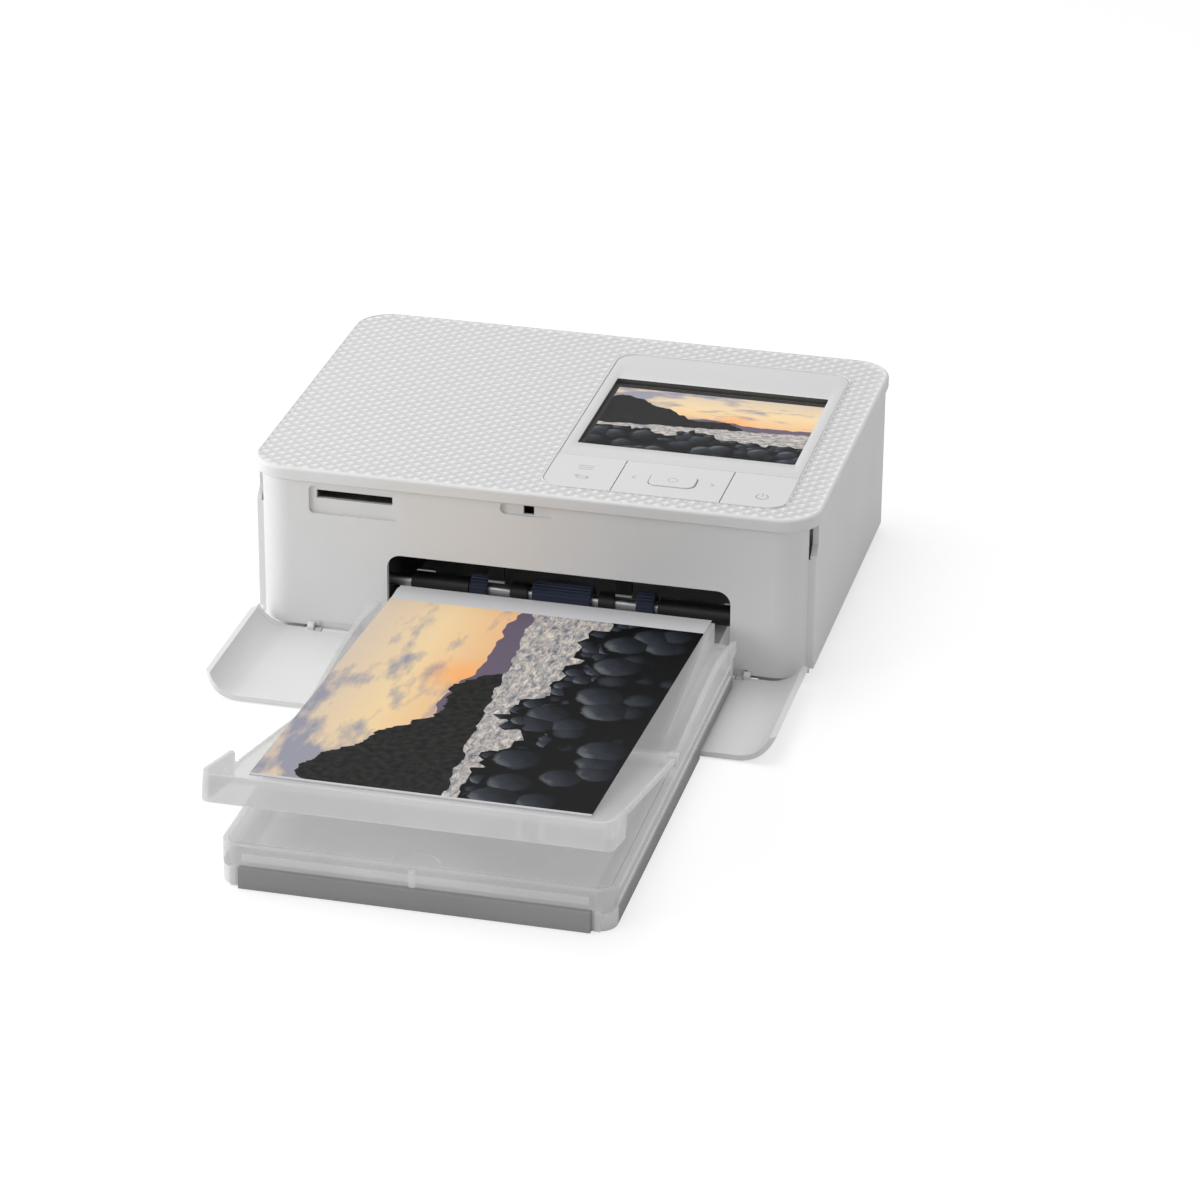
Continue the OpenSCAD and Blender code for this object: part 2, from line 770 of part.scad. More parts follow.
// The door as it stands when shut
module shut_door() {
    intersection() {
        translate([0, 0, door_foot])
            linear_extrude(door_head - door_foot)
                difference() {
                    translate([0, front_y + far / 2])
                        rounded_mid(2 * door_x, far, corner_r - 0.2);
                    translate([0, front_y + far / 2])
                        rounded_mid(2 * (door_x - door_t), far - 2 * door_t, corner_r - 0.2 - door_t);
                    translate([-far, front_y + wing_d])
                        square([2 * far, far]);
                }
        along_y(front_y - 1, wing_d + 2)
            translate([-door_x, door_head - far])
                rounded(2 * door_x, far, door_corner_r);
    }
    // hinge arms
    for (s = [-1, 1])
        translate([s * (door_lug_x - lug_w / 2 - 0.3 - arm_w / 2), 0, 0])
            difference() {
                union() {
                    bar_x(-arm_w / 2, arm_w, door_y, door_z, lug_r);
                    box([-arm_w / 2, front_y, door_z], [arm_w / 2, front_y + door_t, door_foot + 2]);
                }
                bar_x(-arm_w, 2 * arm_w, door_y, door_z, door_pin_r);
            }
    // latch hook, just under the top edge
    box([-latch_hole / 2 + 0.4, front_y + door_t - 0.5, door_head - 0.4 - latch_hole + 0.8],
        [latch_hole / 2 - 0.4, front_y + door_t + hook_reach, door_head - 1]);
}

module front_door() {
    color("white") placed()
        translate([0, door_y, door_z])
            rotate([90, 0, 0])
                translate([0, -door_y, -door_z])
                    shut_door();
}

module front_door_pins() {
    color("silver") placed()
        for (s = [-1, 1])
            bar_x(s * (door_lug_x - 4) - 5, 10, door_y, door_z, door_pin_r);
}

// ---------- ink door ----------

module ink_door() {
    color("white") placed() {
        difference() {
            union() {
                along_x(side_x - wall, wall)
                    side_outline();
                for (y = [-side_hinge_y, side_hinge_y]) {
                    bar_y(y - side_knuckle / 2, side_knuckle, side_axis_x, side_axis_z, side_lug_r);
                    box([side_axis_x, y - side_knuckle / 2, side_axis_z],
                        [side_x - wall, y + side_knuckle / 2, side_axis_z + side_arm_h]);
                }
            }
            for (y = [-side_hinge_y, side_hinge_y])
                bar_y(y - side_knuckle, 2 * side_knuckle, side_axis_x, side_axis_z, side_pin_r);
        }
        // latch tab
        box([side_x - wall - 2.4, -3, panel_top - 7], [side_x - wall, 3, panel_top - 5.4]);
    }
}

module ink_door_pins() {
    color("silver") placed()
        for (y = [-side_hinge_y, side_hinge_y])
            bar_y(y - side_knuckle / 2 - 4, side_knuckle + 8, side_axis_x, side_axis_z, side_pin_r);
}

// ---------- control panel ----------

// Panel outline, smaller all round by inset
module panel_outline(inset) {
    translate([panel_x0 + inset, key_front + inset])
        rounded(panel_w - 2 * inset, panel_d - 2 * inset, panel_r - inset);
}

// Places of the switch stems under the keys
menu_stem = [panel_x0 + menu_w / 2, key_front + 6];
power_stem = [panel_x0 + panel_w - 8, key_front + 6];
rocker_mid = [panel_x0 + menu_w + rocker_w / 2, key_front + key_d / 2];
rocker_stem = rocker_w / 2 - 5;
stem_r = 1.4;

module control_panel() {
    color("white") placed()
        difference() {
            union() {
                translate([0, 0, plate_z])
                    linear_extrude(panel_z - plate_z)
                        intersection() {
                            panel_outline(0);
                            translate([-far, key_back + key_gap / 2])
                                square([2 * far, far]);
                        }
                translate([0, 0, plate_z - flange_t])
                    linear_extrude(flange_t)
                        panel_outline(-flange_reach);
            }
            translate([0, 0, plate_z - 10])
                linear_extrude(20)
                    translate([panel_x0 + (panel_w - lcd_w) / 2, lcd_back - lcd_d])
                        square([lcd_w, lcd_d]);
            translate([0, 0, plate_z - flange_t - 1])
                linear_extrude(flange_t + 1)
                    translate([panel_x0 + (panel_w - lcd_w) / 2 - 1.4, lcd_back - lcd_d - 1.4])
                        square([lcd_w + 2.8, lcd_d + 2.8]);
            for (p = concat([menu_stem, power_stem, rocker_mid], rocker_stems))
                translate([p[0], p[1], plate_z - 10])
                    cylinder(20, stem_r + 0.5, stem_r + 0.5);
        }
}

rocker_stems = [for (s = [-1, 1]) [rocker_mid[0] + s * rocker_stem, rocker_mid[1]]];

module lcd_window() {
    color("lightgray", 0.4) placed()
        translate([panel_x0 + (panel_w - lcd_w) / 2 + 0.15, lcd_back - lcd_d + 0.15, lens_z - lens_t])
            cube([lcd_w - 0.3, lcd_d - 0.3, lens_t]);
}

module lcd_module() {
    color("black") placed()
        translate([panel_x0 + (panel_w - lcd_w) / 2 - 1, lcd_back - lcd_d - 1, plate_z - 0.05 - module_t])
            cube([lcd_w + 2, lcd_d + 2, module_t]);
}

// Part of the key row between two places along X
module key_blank(x0, x1) {
    translate([0, 0, key_z])
        linear_extrude(panel_z - key_z)
            intersection() {
                panel_outline(0);
                translate([x0, key_front - 1])
                    square([x1 - x0, key_d + 1 - key_gap / 2]);
            }
}

module key_stem(p) {
    translate([p[0], p[1], board_top + switch_h + key_travel + 0.1])
        cylinder(key_z - board_top - switch_h - key_travel, stem_r, stem_r);
}

module menu_key() {
    color("white") placed() {
        key_blank(panel_x0, panel_x0 + menu_w - key_gap);
        key_stem(menu_stem);
    }
}

module nav_rocker() {
    color("white") placed() {
        difference() {
            key_blank(panel_x0 + menu_w, panel_x0 + menu_w + rocker_w);
            translate([rocker_mid[0], rocker_mid[1], key_z - 1])
                linear_extrude(5)
                    rounded_mid(ok_w + 2 * key_gap, ok_d + 2 * key_gap, 2.6 + key_gap);
        }
        for (p = rocker_stems)
            key_stem(p);
    }
}

module ok_key() {
    color("white") placed() {
        translate([rocker_mid[0], rocker_mid[1], key_z])
            linear_extrude(panel_z + ok_rise - key_z)
                rounded_mid(ok_w, ok_d, 2.6);
        key_stem(rocker_mid);
    }
}

module power_key() {
    color("white") placed() {
        key_blank(panel_x0 + menu_w + rocker_w + key_gap, panel_x0 + panel_w);
        key_stem(power_stem);
    }
}

module switch_board() {
    color("darkgreen") placed() {
        translate([panel_x0 + 1, key_front + 1.5, board_top - board_t])
            cube([panel_w - 2, key_d - 1, board_t]);
        for (p = concat([menu_stem, power_stem, rocker_mid], rocker_stems))
            translate([p[0] - 1.8, p[1] - 1.8, board_top])
                cube([3.6, 3.6, switch_h]);
    }
}

// ---------- boards and sockets ----------

module main_board() {
    color("darkgreen") placed() {
        difference() {
            translate([0, 0, board_z])
                linear_extrude(board_t)
                    union() {
                        translate([board_x0, -59])
                            square([board_x1 - board_x0, 105]);
                        translate([board_x0, -59])
                            square([card_x + card_w / 2 + 6 - board_x0, 28]);
                    }
            at_posts()
                translate([0, 0, board_z - 1])
                    cylinder(board_t + 2, post_r + 0.6, post_r + 0.6);
        }
        // processor, memory and power parts
        for (p = [[18, 2, 12], [18, 20, 9], [10, -22, 7], [20, -16, 6], [8, 34, 8]])
            translate([board_x1 - p[0], p[1], board_z + board_t])
                cube([p[2], p[2], 1.2]);
    }
}

module card_socket() {
    color("silver") placed()
        difference() {
            box([card_x - card_w / 2 - 0.8, socket_y, board_z + board_t],
                [card_x + card_w / 2 + 0.8, socket_y + socket_len, card_z + card_h + 0.5]);
            box([card_x - card_w / 2, socket_y - 1, card_z],
                [card_x + card_w / 2, socket_y + socket_len - 3, card_z + card_h - 0.2]);
        }
}

module power_board() {
    color("darkgreen") placed()
        box([power_x0, 51.5, power_z], [power_x1, rear_y - wall - 0.6, power_z + board_t]);
}

module usb_port() {
    color("silver") placed()
        along_y(rear_y - wall - 7.4, 7.2)
            translate([usb_x, usb_z]) {
                difference() {
                    rounded_mid(usb_w, usb_h, 1.3);
                    rounded_mid(usb_w - 0.7, usb_h - 0.7, 1);
                }
                // contact tongue
                translate([-usb_w / 2 + 0.1, -0.35])
                    square([usb_w - 0.2, 0.7]);
            }
}

module dc_jack() {
    color("black") placed()
        difference() {
            box([inlet_x - 5.5, rear_y - wall - 11.2, power_z + board_t],
                [inlet_x + 5.5, rear_y - wall - 0.2, power_z + board_t + 11]);
            difference() {
                bar_y(rear_y - wall - 9.2, 12, inlet_x, inlet_z, inlet_r);
                bar_y(rear_y - wall - 12, 10.5, inlet_x, inlet_z, 0.8);
            }
        }
}

module fan_frame() {
    color("black") placed() {
        difference() {
            box([fan_x0, fan_y, fan_z0], [fan_x0 + fan_w, fan_y + fan_t, fan_z0 + fan_w]);
            bar_y(fan_y - 1, fan_t + 2, fan_mid[0], fan_mid[1], fan_w / 2 - 1);
        }
        bar_y(fan_y + fan_t - 1.2, 1.2, fan_mid[0], fan_mid[1], 5);
        for (a = [30, 150, 270])
            translate([fan_mid[0], fan_y + fan_t - 1.2, fan_mid[1]])
                rotate([0, a, 0])
                    translate([0, 0, -0.7])
                        cube([fan_w / 2 - 0.5, 1.2, 1.4]);
        bar_y(fan_y + 2, fan_t - 2.5, fan_mid[0], fan_mid[1], 1);
    }
}

module fan_rotor() {
    color("dimgray") placed()
        difference() {
            union() {
                bar_y(fan_y + 1, fan_t - 2.6, fan_mid[0], fan_mid[1], 5);
                for (k = [0 : fan_blades - 1])
                    translate([fan_mid[0], fan_y + 3.6, fan_mid[1]])
                        rotate([0, k * 360 / fan_blades, 0])
                            rotate([40, 0, 0])
                                translate([4, -0.4, -2.6])
                                    cube([fan_w / 2 - 6, 0.8, 5.2]);
            }
            bar_y(fan_y + 1.6, fan_t, fan_mid[0], fan_mid[1], 1 + run_gap);
        }
}

// ---------- side frames ----------

// Frame outline in the YZ plane
module frame_outline() {
    polygon([
        [-58, floor_top],
        [46, floor_top],
        [46, 34],
        [53, 38],
        [53, 47],
        [-26, 47],
        [-34, 30],
        [-58, 30]
    ]);
}

module frame_bores(x0) {
    bar_x(x0, 10, feed_y, feed_z, shaft_r + run_gap);
    bar_x(x0, 10, -capstan_y, capstan_z, shaft_r + run_gap);
    bar_x(x0, 10, -capstan_y, pinch_z, pinch_journal + run_gap);
    bar_x(x0, 10, platen_y, platen_z, shaft_r + run_gap);
    bar_x(x0, 10, pivot_y, pivot_z, pivot_r);
}

module left_frame() {
    color("gainsboro") placed() {
        difference() {
            along_x(frame_l - frame_t, frame_t)
                frame_outline();
            frame_bores(frame_l - 5);
        }
        // shelf under the main board
        box([frame_l - frame_t - 9, 4, board_z - 1.2], [frame_l - 0.4, 40, board_z]);
        // stub axle of the reduction gear
        bar_x(outer_train_x - gear_w - 0.8, frame_l - frame_t - outer_train_x + gear_w + 0.8,
            reduction_y, reduction_z, axle_r);
    }
}

module right_frame() {
    color("gainsboro") placed() {
        difference() {
            along_x(frame_r, frame_t)
                frame_outline();
            frame_bores(frame_r - 5);
            // window for the ink cassette
            box([frame_r - 1, -take_y - tube_r - 1, tube_z - tube_r - 1],
                [frame_r + 5, supply_y + tube_r + 1, tube_z + tube_r + 1]);
        }
        // stud of the eject lever
        bar_x(frame_r + 0.4, frame_t + 3, lever_y, lever_z, lever_r);
    }
}

module paper_guide() {
    color("silver") placed() {
        box([frame_l, -capstan_y + capstan_r + 1.5, path_z - 1.6],
            [frame_r, platen_y - platen_r - 1.5, path_z - 0.6]);
        box([frame_l, platen_y + platen_r + 1.5, path_z - 1.6],
            [frame_r, fan_y - 1, path_z - 0.6]);
    }
}

// Crossbar behind the fascia with the two tabs that hold the print down
module exit_tabs() {
    color("dimgray") placed() {
        box([frame_l - 0.4, fascia_y + wall + 0.6, mouth_top + 0.6],
            [frame_r + 0.4, fascia_y + wall + 4.4, mouth_top + 6]);
        for (s = [-1, 1])
            box([paper_x + s * tab_x - 2.6, fascia_y + wall + 1, path_z + 1.4],
                [paper_x + s * tab_x + 2.6, fascia_y + wall + 2.2, mouth_top + 0.7]);
    }
}

// ---------- rollers and drive ----------

module feed_shaft() {
    color("silver") placed()
        bar_x(train_x - gear_w, frame_r + frame_t - 0.2 - train_x + gear_w, feed_y, feed_z, shaft_r);
}

// Ring on the feed shaft, w wide about x
module shaft_ring(x, w, r) {
    difference() {
        bar_x(x - w / 2, w, feed_y, feed_z, r);
        bar_x(x - w, 2 * w, feed_y, feed_z, shaft_r);
    }
}

module feed_rollers() {
    color("midnightblue") placed() {
        shaft_ring(feed_x, feed_wide, feed_r);
        for (s = [-1, 1])
            shaft_ring(feed_x + s * feed_span, feed_narrow, feed_r);
    }
}

module feed_gear() {
    color("ivory") placed()
        gear(feed_teeth, feed_phase, train_x - gear_w, feed_y, feed_z, shaft_r);
}

module capstan_roller() {
    color("silver") placed() {
        bar_x(train_x - gear_w, frame_r + frame_t - 0.2 - train_x + gear_w, -capstan_y, capstan_z, shaft_r);
        bar_x(paper_x - roller_len / 2, roller_len, -capstan_y, capstan_z, capstan_r);
    }
}

module capstan_gear() {
    color("ivory") placed()
        gear(capstan_teeth, capstan_phase, train_x - gear_w, -capstan_y, capstan_z, shaft_r);
}

module pinch_roller() {
    color("dimgray") placed() {
        bar_x(frame_l - frame_t - 0.3, frame_span + 2 * frame_t + 0.6, -capstan_y, pinch_z, pinch_journal);
        bar_x(paper_x - roller_len / 2, roller_len, -capstan_y, pinch_z, pinch_r);
    }
}

module platen_roller() {
    color("dimgray") placed() {
        bar_x(frame_l - frame_t - 0.3, frame_span + 2 * frame_t + 0.6, platen_y, platen_z, shaft_r);
        bar_x(paper_x - roller_len / 2, roller_len, platen_y, platen_z, platen_r);
    }
}

module reduction_gear() {
    color("ivory") placed()
        difference() {
            union() {
                along_x(outer_train_x - gear_w, gear_w)
                    translate([reduction_y, reduction_z])
                        gear_shape(big_teeth, big_phase);
                along_x(train_x - gear_w, gear_w)
                    translate([reduction_y, reduction_z])
                        gear_shape(small_teeth, small_phase);
                bar_x(outer_train_x - 0.5, train_x - gear_w - outer_train_x + 1,
                    reduction_y, reduction_z, 5);
            }
            bar_x(outer_train_x - 10, 30, reduction_y, reduction_z, axle_r + run_gap);
        }
}

module drive_motor() {
    color("gray") placed()
        difference() {
            bar_x(bracket_x - bracket_t - motor_len, motor_len, motor_y, motor_z, motor_r);
            bar_x(bracket_x - bracket_t - 6, 8, motor_y, motor_z, motor_axle_r + run_gap);
        }
}

module motor_bracket() {
    color("silver") placed()
        difference() {
            box([bracket_x - bracket_t, motor_y - motor_r - 2, floor_top],
                [bracket_x, motor_y + motor_r + 2, motor_z + motor_r - 1]);
            bar_x(bracket_x - 5, 10, motor_y, motor_z, 3);
        }
}

module motor_shaft() {
    color("silver") placed()
        bar_x(bracket_x - bracket_t - 5, bracket_t + 5 + 1.2 + gear_w, motor_y, motor_z, motor_axle_r);
}

module motor_pinion() {
    color("ivory") placed()
        gear(pinion_teeth, pinion_phase, outer_train_x - gear_w, motor_y, motor_z, motor_axle_r);
}

// ---------- print head ----------

module head_bracket() {
    color("silver") placed()
        difference() {
            union() {
                box([paper_x - head_half, platen_y - 6, pivot_z - 0.8],
                    [paper_x + head_half, pivot_y, pivot_z + 0.8]);
                for (s = [-1, 1])
                    bar_x(paper_x + s * (head_half - 6) - 6, 12, pivot_y, pivot_z, 2.6);
            }
            bar_x(frame_l - 5, frame_span + 10, pivot_y, pivot_z, pivot_r + run_gap);
        }
}

module head_pivot_pin() {
    color("gray") placed()
        bar_x(frame_l - frame_t - 0.5, frame_span + 2 * frame_t + 1, pivot_y, pivot_z, pivot_r);
}

module head_heat_sink() {
    color("lightgray") placed() {
        box([paper_x - head_half, platen_y - 4, head_z + 1.2],
            [paper_x + head_half, platen_y + 4, head_z + 6]);
        for (y = [platen_y - 4, platen_y - 0.9, platen_y + 2.2])
            box([paper_x - head_half, y, head_z + 6], [paper_x + head_half, y + 1.8, pivot_z - 0.8]);
    }
}

module print_head() {
    color("ivory") placed() {
        box([paper_x - head_half, platen_y - 4, head_z + 0.4],
            [paper_x + head_half, platen_y + 4, head_z + 1.2]);
        box([paper_x - head_half, platen_y - 1, head_z],
            [paper_x + head_half, platen_y + 1, head_z + 0.4]);
    }
}

// ---------- ink cassette ----------

// One ribbon tube: dir is the side on which its ribbon slot lies
module ribbon_tube(y, dir) {
    difference() {
        bar_x(tube_x0, tube_x1 - tube_x0 + 1, y, tube_z, tube_r);
        bar_x(tube_x0 + 1.5, tube_x1 - tube_x0 + 1, y, tube_z, tube_in);
        translate([0, y + dir * tube_r / 2, 0])
            box([tube_x0 + 1.5, -tube_r / 2 + 0.6, tube_z - tube_r - 1],
                [tube_x1, tube_r / 2 + 1, tube_z - tube_r + 4]);
    }
}

module ink_cassette_case() {
    color("gray") placed()
        difference() {
            union() {
                ribbon_tube(-take_y, 1);
                ribbon_tube(supply_y, -1);
                // plate that joins the tubes at the far end
                box([tube_x0, -take_y, tube_z - 4], [tube_x0 + 1.5, supply_y, tube_z + 4]);
                // grip at the near end
                box([tube_x1, -take_y - tube_r, tube_z - tube_r],
                    [grip_x1, supply_y + tube_r, tube_z + tube_r]);
            }
            // hollows of the grip
            box([tube_x1 + 2, -take_y + tube_r + 3, tube_z - tube_r + 2],
                [grip_x1 - 2, supply_y - tube_r - 3, tube_z + tube_r + 1]);
            for (y = [-take_y, supply_y]) {
                bar_x(tube_x0 - 1, 4, y, tube_z, 2.2);
                bar_x(tube_x1 - 1, 5, y, tube_z, 2.2);
            }
        }
}

// Spool with its wound ribbon
module spool(y, wound) {
    bar_x(tube_x0 + 0.2, tube_x1 - tube_x0 + 3.4, y, tube_z, 2.2 - run_gap);
    bar_x(tube_x0 + 2, tube_x1 - tube_x0 - 2.5, y, tube_z, 3.2);
    bar_x(paper_x - head_half, 2 * head_half, y, tube_z, wound);
}

module supply_spool() {
    color("black") placed()
        spool(supply_y, supply_wound);
}

module take_up_spool() {
    color("black") placed()
        spool(-take_y, take_wound);
}

// Ribbon between the two spools, as a thin folded strip
module ink_ribbon() {
    color("darkmagenta") placed()
        along_x(paper_x - head_half + 1, 2 * head_half - 2)
            polygon([
                [-take_y + 2, tube_z - take_wound - spool_gap],
                [-take_y + 5.4, ribbon_z],
                [supply_y - 5.4, ribbon_z],
                [supply_y - 2, tube_z - supply_wound - spool_gap],
                [supply_y - 2, tube_z - supply_wound - spool_gap + ribbon_t],
                [supply_y - 5.5, ribbon_z + ribbon_t],
                [-take_y + 5.5, ribbon_z + ribbon_t],
                [-take_y + 2, tube_z - take_wound - spool_gap + ribbon_t]
            ]);
}

module eject_lever() {
    color("gray") placed() {
        difference() {
            bar_x(frame_r + frame_t + 0.4, 2.4, lever_y, lever_z, 3);
            bar_x(frame_r, 10, lever_y, lever_z, lever_r + run_gap);
        }
        box([frame_r + frame_t + 0.4, lever_y - 2, lever_z - 16],
            [frame_r + frame_t + 2.8, lever_y + 2, lever_z - 2.4]);
        box([frame_r + frame_t + 0.4, lever_y - 2, lever_z - 18],
            [frame_r + frame_t + 8, lever_y + 2, lever_z - 16]);
    }
}

// ---------- paper cassette ----------

// Cassette outline from above, smaller all round by inset
module cassette_plan(inset) {
    translate([paper_x, 0]) {
        translate([-cas_w / 2 + inset, -cas_front + inset])
            rounded(cas_w - 2 * inset, cas_front + tongue_y - 2 * inset, cas_r - inset);
        translate([-tongue_w / 2 + inset, -cas_front + 20])
            square([tongue_w - 2 * inset, cas_front - 20 - cas_rear - inset]);
    }
}

module cassette_base() {
    color("gray") placed()
        difference() {
            union() {
                translate([0, 0, cas_lift])
                    linear_extrude(cas_floor)
                        cassette_plan(0);
                translate([0, 0, cas_lift])
                    linear_extrude(cas_split - cas_lift)
                        difference() {
                            cassette_plan(0);
                            cassette_plan(cas_wall);
                        }
                // rim that stands on the table
                linear_extrude(cas_lift + 0.5)
                    intersection() {
                        difference() {
                            cassette_plan(0);
                            cassette_plan(3);
                        }
                        translate([-far, -cas_front - 1])
                            square([2 * far, cas_stand + 1]);
                    }
                translate([paper_x, 0, 0]) {
                    box([-cas_w / 2 + 2, -cas_front + cas_stand - 3, 0],
                        [cas_w / 2 - 2, -cas_front + cas_stand, cas_lift + 0.5]);
                    // lugs of the lift plate
                    for (s = [-1, 1])
                        translate([s * (plate_half + 2), 0, 0])
                            box([-1, plate_front - 1.6, rest_z - 0.5],
                                [1, plate_front + 1.6, lift_z + lift_t + 0.4]);
                }
            }
            // channel that lets the door's latch hook pass
            box([-hook_slot, hook_slot_y, -1], [hook_slot, 0, cas_split + 1]);
            bar_x(paper_x - plate_half - 5, 2 * plate_half + 10, plate_front, lift_z + lift_t / 2,
                lid_pin_r + run_gap);
        }
}

module cassette_shell() {
    color("gainsboro", 0.5) placed()
        difference() {
            union() {
                // walls, and a ledge under the inner lid
                translate([0, 0, cas_split])
                    linear_extrude(cas_h - cas_split)
                        difference() {
                            cassette_plan(0);
                            cassette_plan(cas_wall);
                        }
                translate([paper_x, 0, 0])
                    box([-cas_w / 2 + cas_r, -cas_front + cas_wall - 0.2, lid_top - lid_t - 1.6],
                        [cas_w / 2 - cas_r, -cas_front + cas_wall + 1.6, lid_top - lid_t - 0.1]);
                // deck outside the printer
                translate([0, 0, cas_h - 0.4])
                    linear_extrude(deck_t)
                        intersection() {
                            cassette_plan(0);
                            translate([-far, deck_front])
                                square([2 * far, tongue_y - deck_front]);
                        }
                // raised crown
                along_x(paper_x - crown_w / 2, crown_w)
                    crown_side(0);
                for (s = [-1, 1])
                    translate([paper_x + s * cas_w / 2, 0, 0]) {
                        // side rail
                        along_x(-cas_wall / 2 - s * cas_wall / 2, cas_wall)
                            rail_side();
                        // hinge lug of the tray
                        translate([-1.4 * s, 0, 0]) {
                            bar_x(-1.4, 2.8, -tray_hinge_y, tray_hinge_z, 2.2);
                            box([-1.4, -tray_hinge_y - 2.2, cas_h - 2],
                                [1.4, deck_front + 0.5, tray_hinge_z]);
                        }
                    }
            }
            // hollow of the crown, open to the paper below
            along_x(paper_x - crown_w / 2 + cas_wall, crown_w - 2 * cas_wall)
                crown_side(cas_wall);
            bar_x(paper_x - cas_w, 2 * cas_w, -tray_hinge_y, tray_hinge_z, tray_pin_r + run_gap);
            bar_x(paper_x - cas_w, 2 * cas_w, lid_y, lid_z, lid_pin_r + run_gap);
            // rear end is open for the feed
            translate([paper_x, 0, 0])
                box([-tongue_w / 2 + 6, -cas_rear - 4, cas_split - 1],
                    [tongue_w / 2 - 6, -cas_rear + 4, cas_h + 2]);
        }
}

// Side view of the crown, smaller all round by inset
module crown_side(inset) {
    polygon([
        [tongue_y - inset, cas_h - 1 - inset],
        [tongue_y - inset, crown_h - inset],
        [tongue_y - crown_len, crown_h - inset],
        [deck_front + 2 + inset, cas_h + 0.6 - inset],
        [deck_front + 2 + inset, cas_h - 1 - inset]
    ]);
}

// Side view of the rail beside the crown, with its low hump
module rail_side() {
    polygon([
        [tongue_y, cas_h - 1],
        [tongue_y, cas_h + 2.6],
        [tongue_y - 22, rail_top],
        [tongue_y - 42, rail_top],
        [deck_front, tray_hinge_z + 1],
        [deck_front, cas_h - 1]
    ]);
}

module inner_lid() {
    color("gainsboro", 0.5) placed()
        difference() {
            union() {
                translate([0, 0, lid_top - lid_t])
                    linear_extrude(lid_t)
                        intersection() {
                            cassette_plan(cas_wall + 0.4);
                            translate([-far, -cas_front])
                                square([2 * far, cas_front + lid_y]);
                        }
                // hinge barrel and pins
                bar_x(paper_x - cas_w / 2 + cas_wall + 0.4, cas_w - 2 * cas_wall - 0.8, lid_y, lid_z, 1.4);
                bar_x(paper_x - cas_w / 2 + 0.4, cas_w - 0.8, lid_y, lid_z, lid_pin_r);
            }
            // shallow finger dish at the front edge
            translate([paper_x, -cas_front + cas_wall, lid_top - lid_t / 2])
                cylinder(lid_t, 7, 7);
        }
}

module cassette_front_bar() {
    color("gray") placed()
        translate([paper_x, 0, 0])
            box([-bar_w / 2, -cas_front - bar_t, 0.1], [bar_w / 2, -cas_front, bar_h]);
}

module lift_plate() {
    color("silver") placed()
        translate([paper_x, 0, 0]) {
            difference() {
                box([-plate_half, plate_front - 1, lift_z], [plate_half, stack_back - 1, lift_z + lift_t]);
                // slot that lets the door's latch hook pass
                translate([-paper_x, 0, 0])
                    box([-hook_slot, hook_slot_y, 0], [hook_slot, 0, 20]);
            }
            bar_x(-plate_half - 2.8, 2 * plate_half + 5.6, plate_front, lift_z + lift_t / 2, lid_pin_r);
        }
}

module paper_stack() {
    color("white") placed()
        translate([paper_x, 0, 0])
            box([-paper_w / 2, stack_back - sheet_len, stack_z],
                [paper_w / 2, stack_back, stack_z + stack_h]);
}

// ---------- output tray ----------

module flat_tray() {
    half = cas_w / 2;
    neck = tray_hinge_y + 3.2;
    tip = tray_hinge_y + tray_len;
    top = tray_hinge_z + tray_t / 2;
    translate([paper_x, 0, 0]) {
        // sheet, narrow at the hinge
        box([-half + 0.5, -tip + 10, top - tray_t], [half - 0.5, -neck, top]);
        box([-half + 3.1, -neck - 1, top - tray_t], [half - 3.1, -tray_hinge_y, top]);
        // hinge barrel with its pins
        bar_x(-half + 3.1, 2 * half - 6.2, -tray_hinge_y, tray_hinge_z, 1.8);
        bar_x(-half + 0.2, 2 * half - 0.4, -tray_hinge_y, tray_hinge_z, tray_pin_r);
        // front wall with the ridge that stops the prints
        along_x(-half - 2, 2 * half + 4)
            translate([-tip, top])
                polygon([
                    [10.5, 0],
                    [2, tray_ridge],
                    [0.4, tray_ridge],
                    [0, tray_ridge - 0.4],
                    [0, -tray_skirt],
                    [cas_wall, -tray_skirt],
                    [cas_wall, tray_ridge - 2],
                    [10.5, -tray_t]
                ]);
        // side ears, and the flanges that carry them
        for (s = [-1, 1]) {
            ear = s < 0 ? tray_ear : tray_ear_right;
            translate([s * (half + 1.2), 0, 0])
                along_x(-0.8, 1.6)
                    translate([-tip, top])
                        polygon([
                            [1.6, -tray_skirt],
                            [0, -tray_skirt + 1.6],
                            [0, ear_rise],
                            [ear - 1.2, ear_rise - ear_fall],
                            [ear, ear_rise - ear_fall - 1.2],
                            [ear + 1, -tray_skirt]
                        ]);
            translate([s * half, 0, 0])
                box([-0.8, -tip + 1, top - tray_t], [0.8, -tip + ear, top]);
        }
    }
}

module output_tray() {
    color("gainsboro", 0.5) placed()
        translate([0, -tray_hinge_y, tray_hinge_z])
            rotate([-tray_tilt, 0, 0])
                translate([0, tray_hinge_y, -tray_hinge_z])
                    flat_tray();
}

module print_sheet() {
    color("peachpuff") placed()
        translate([paper_x, -print_rear, print_z])
            rotate([-print_slope, 0, 0])
                translate([-paper_w / 2, -print_len, 0])
                    cube([paper_w, print_len, print_t]);
}

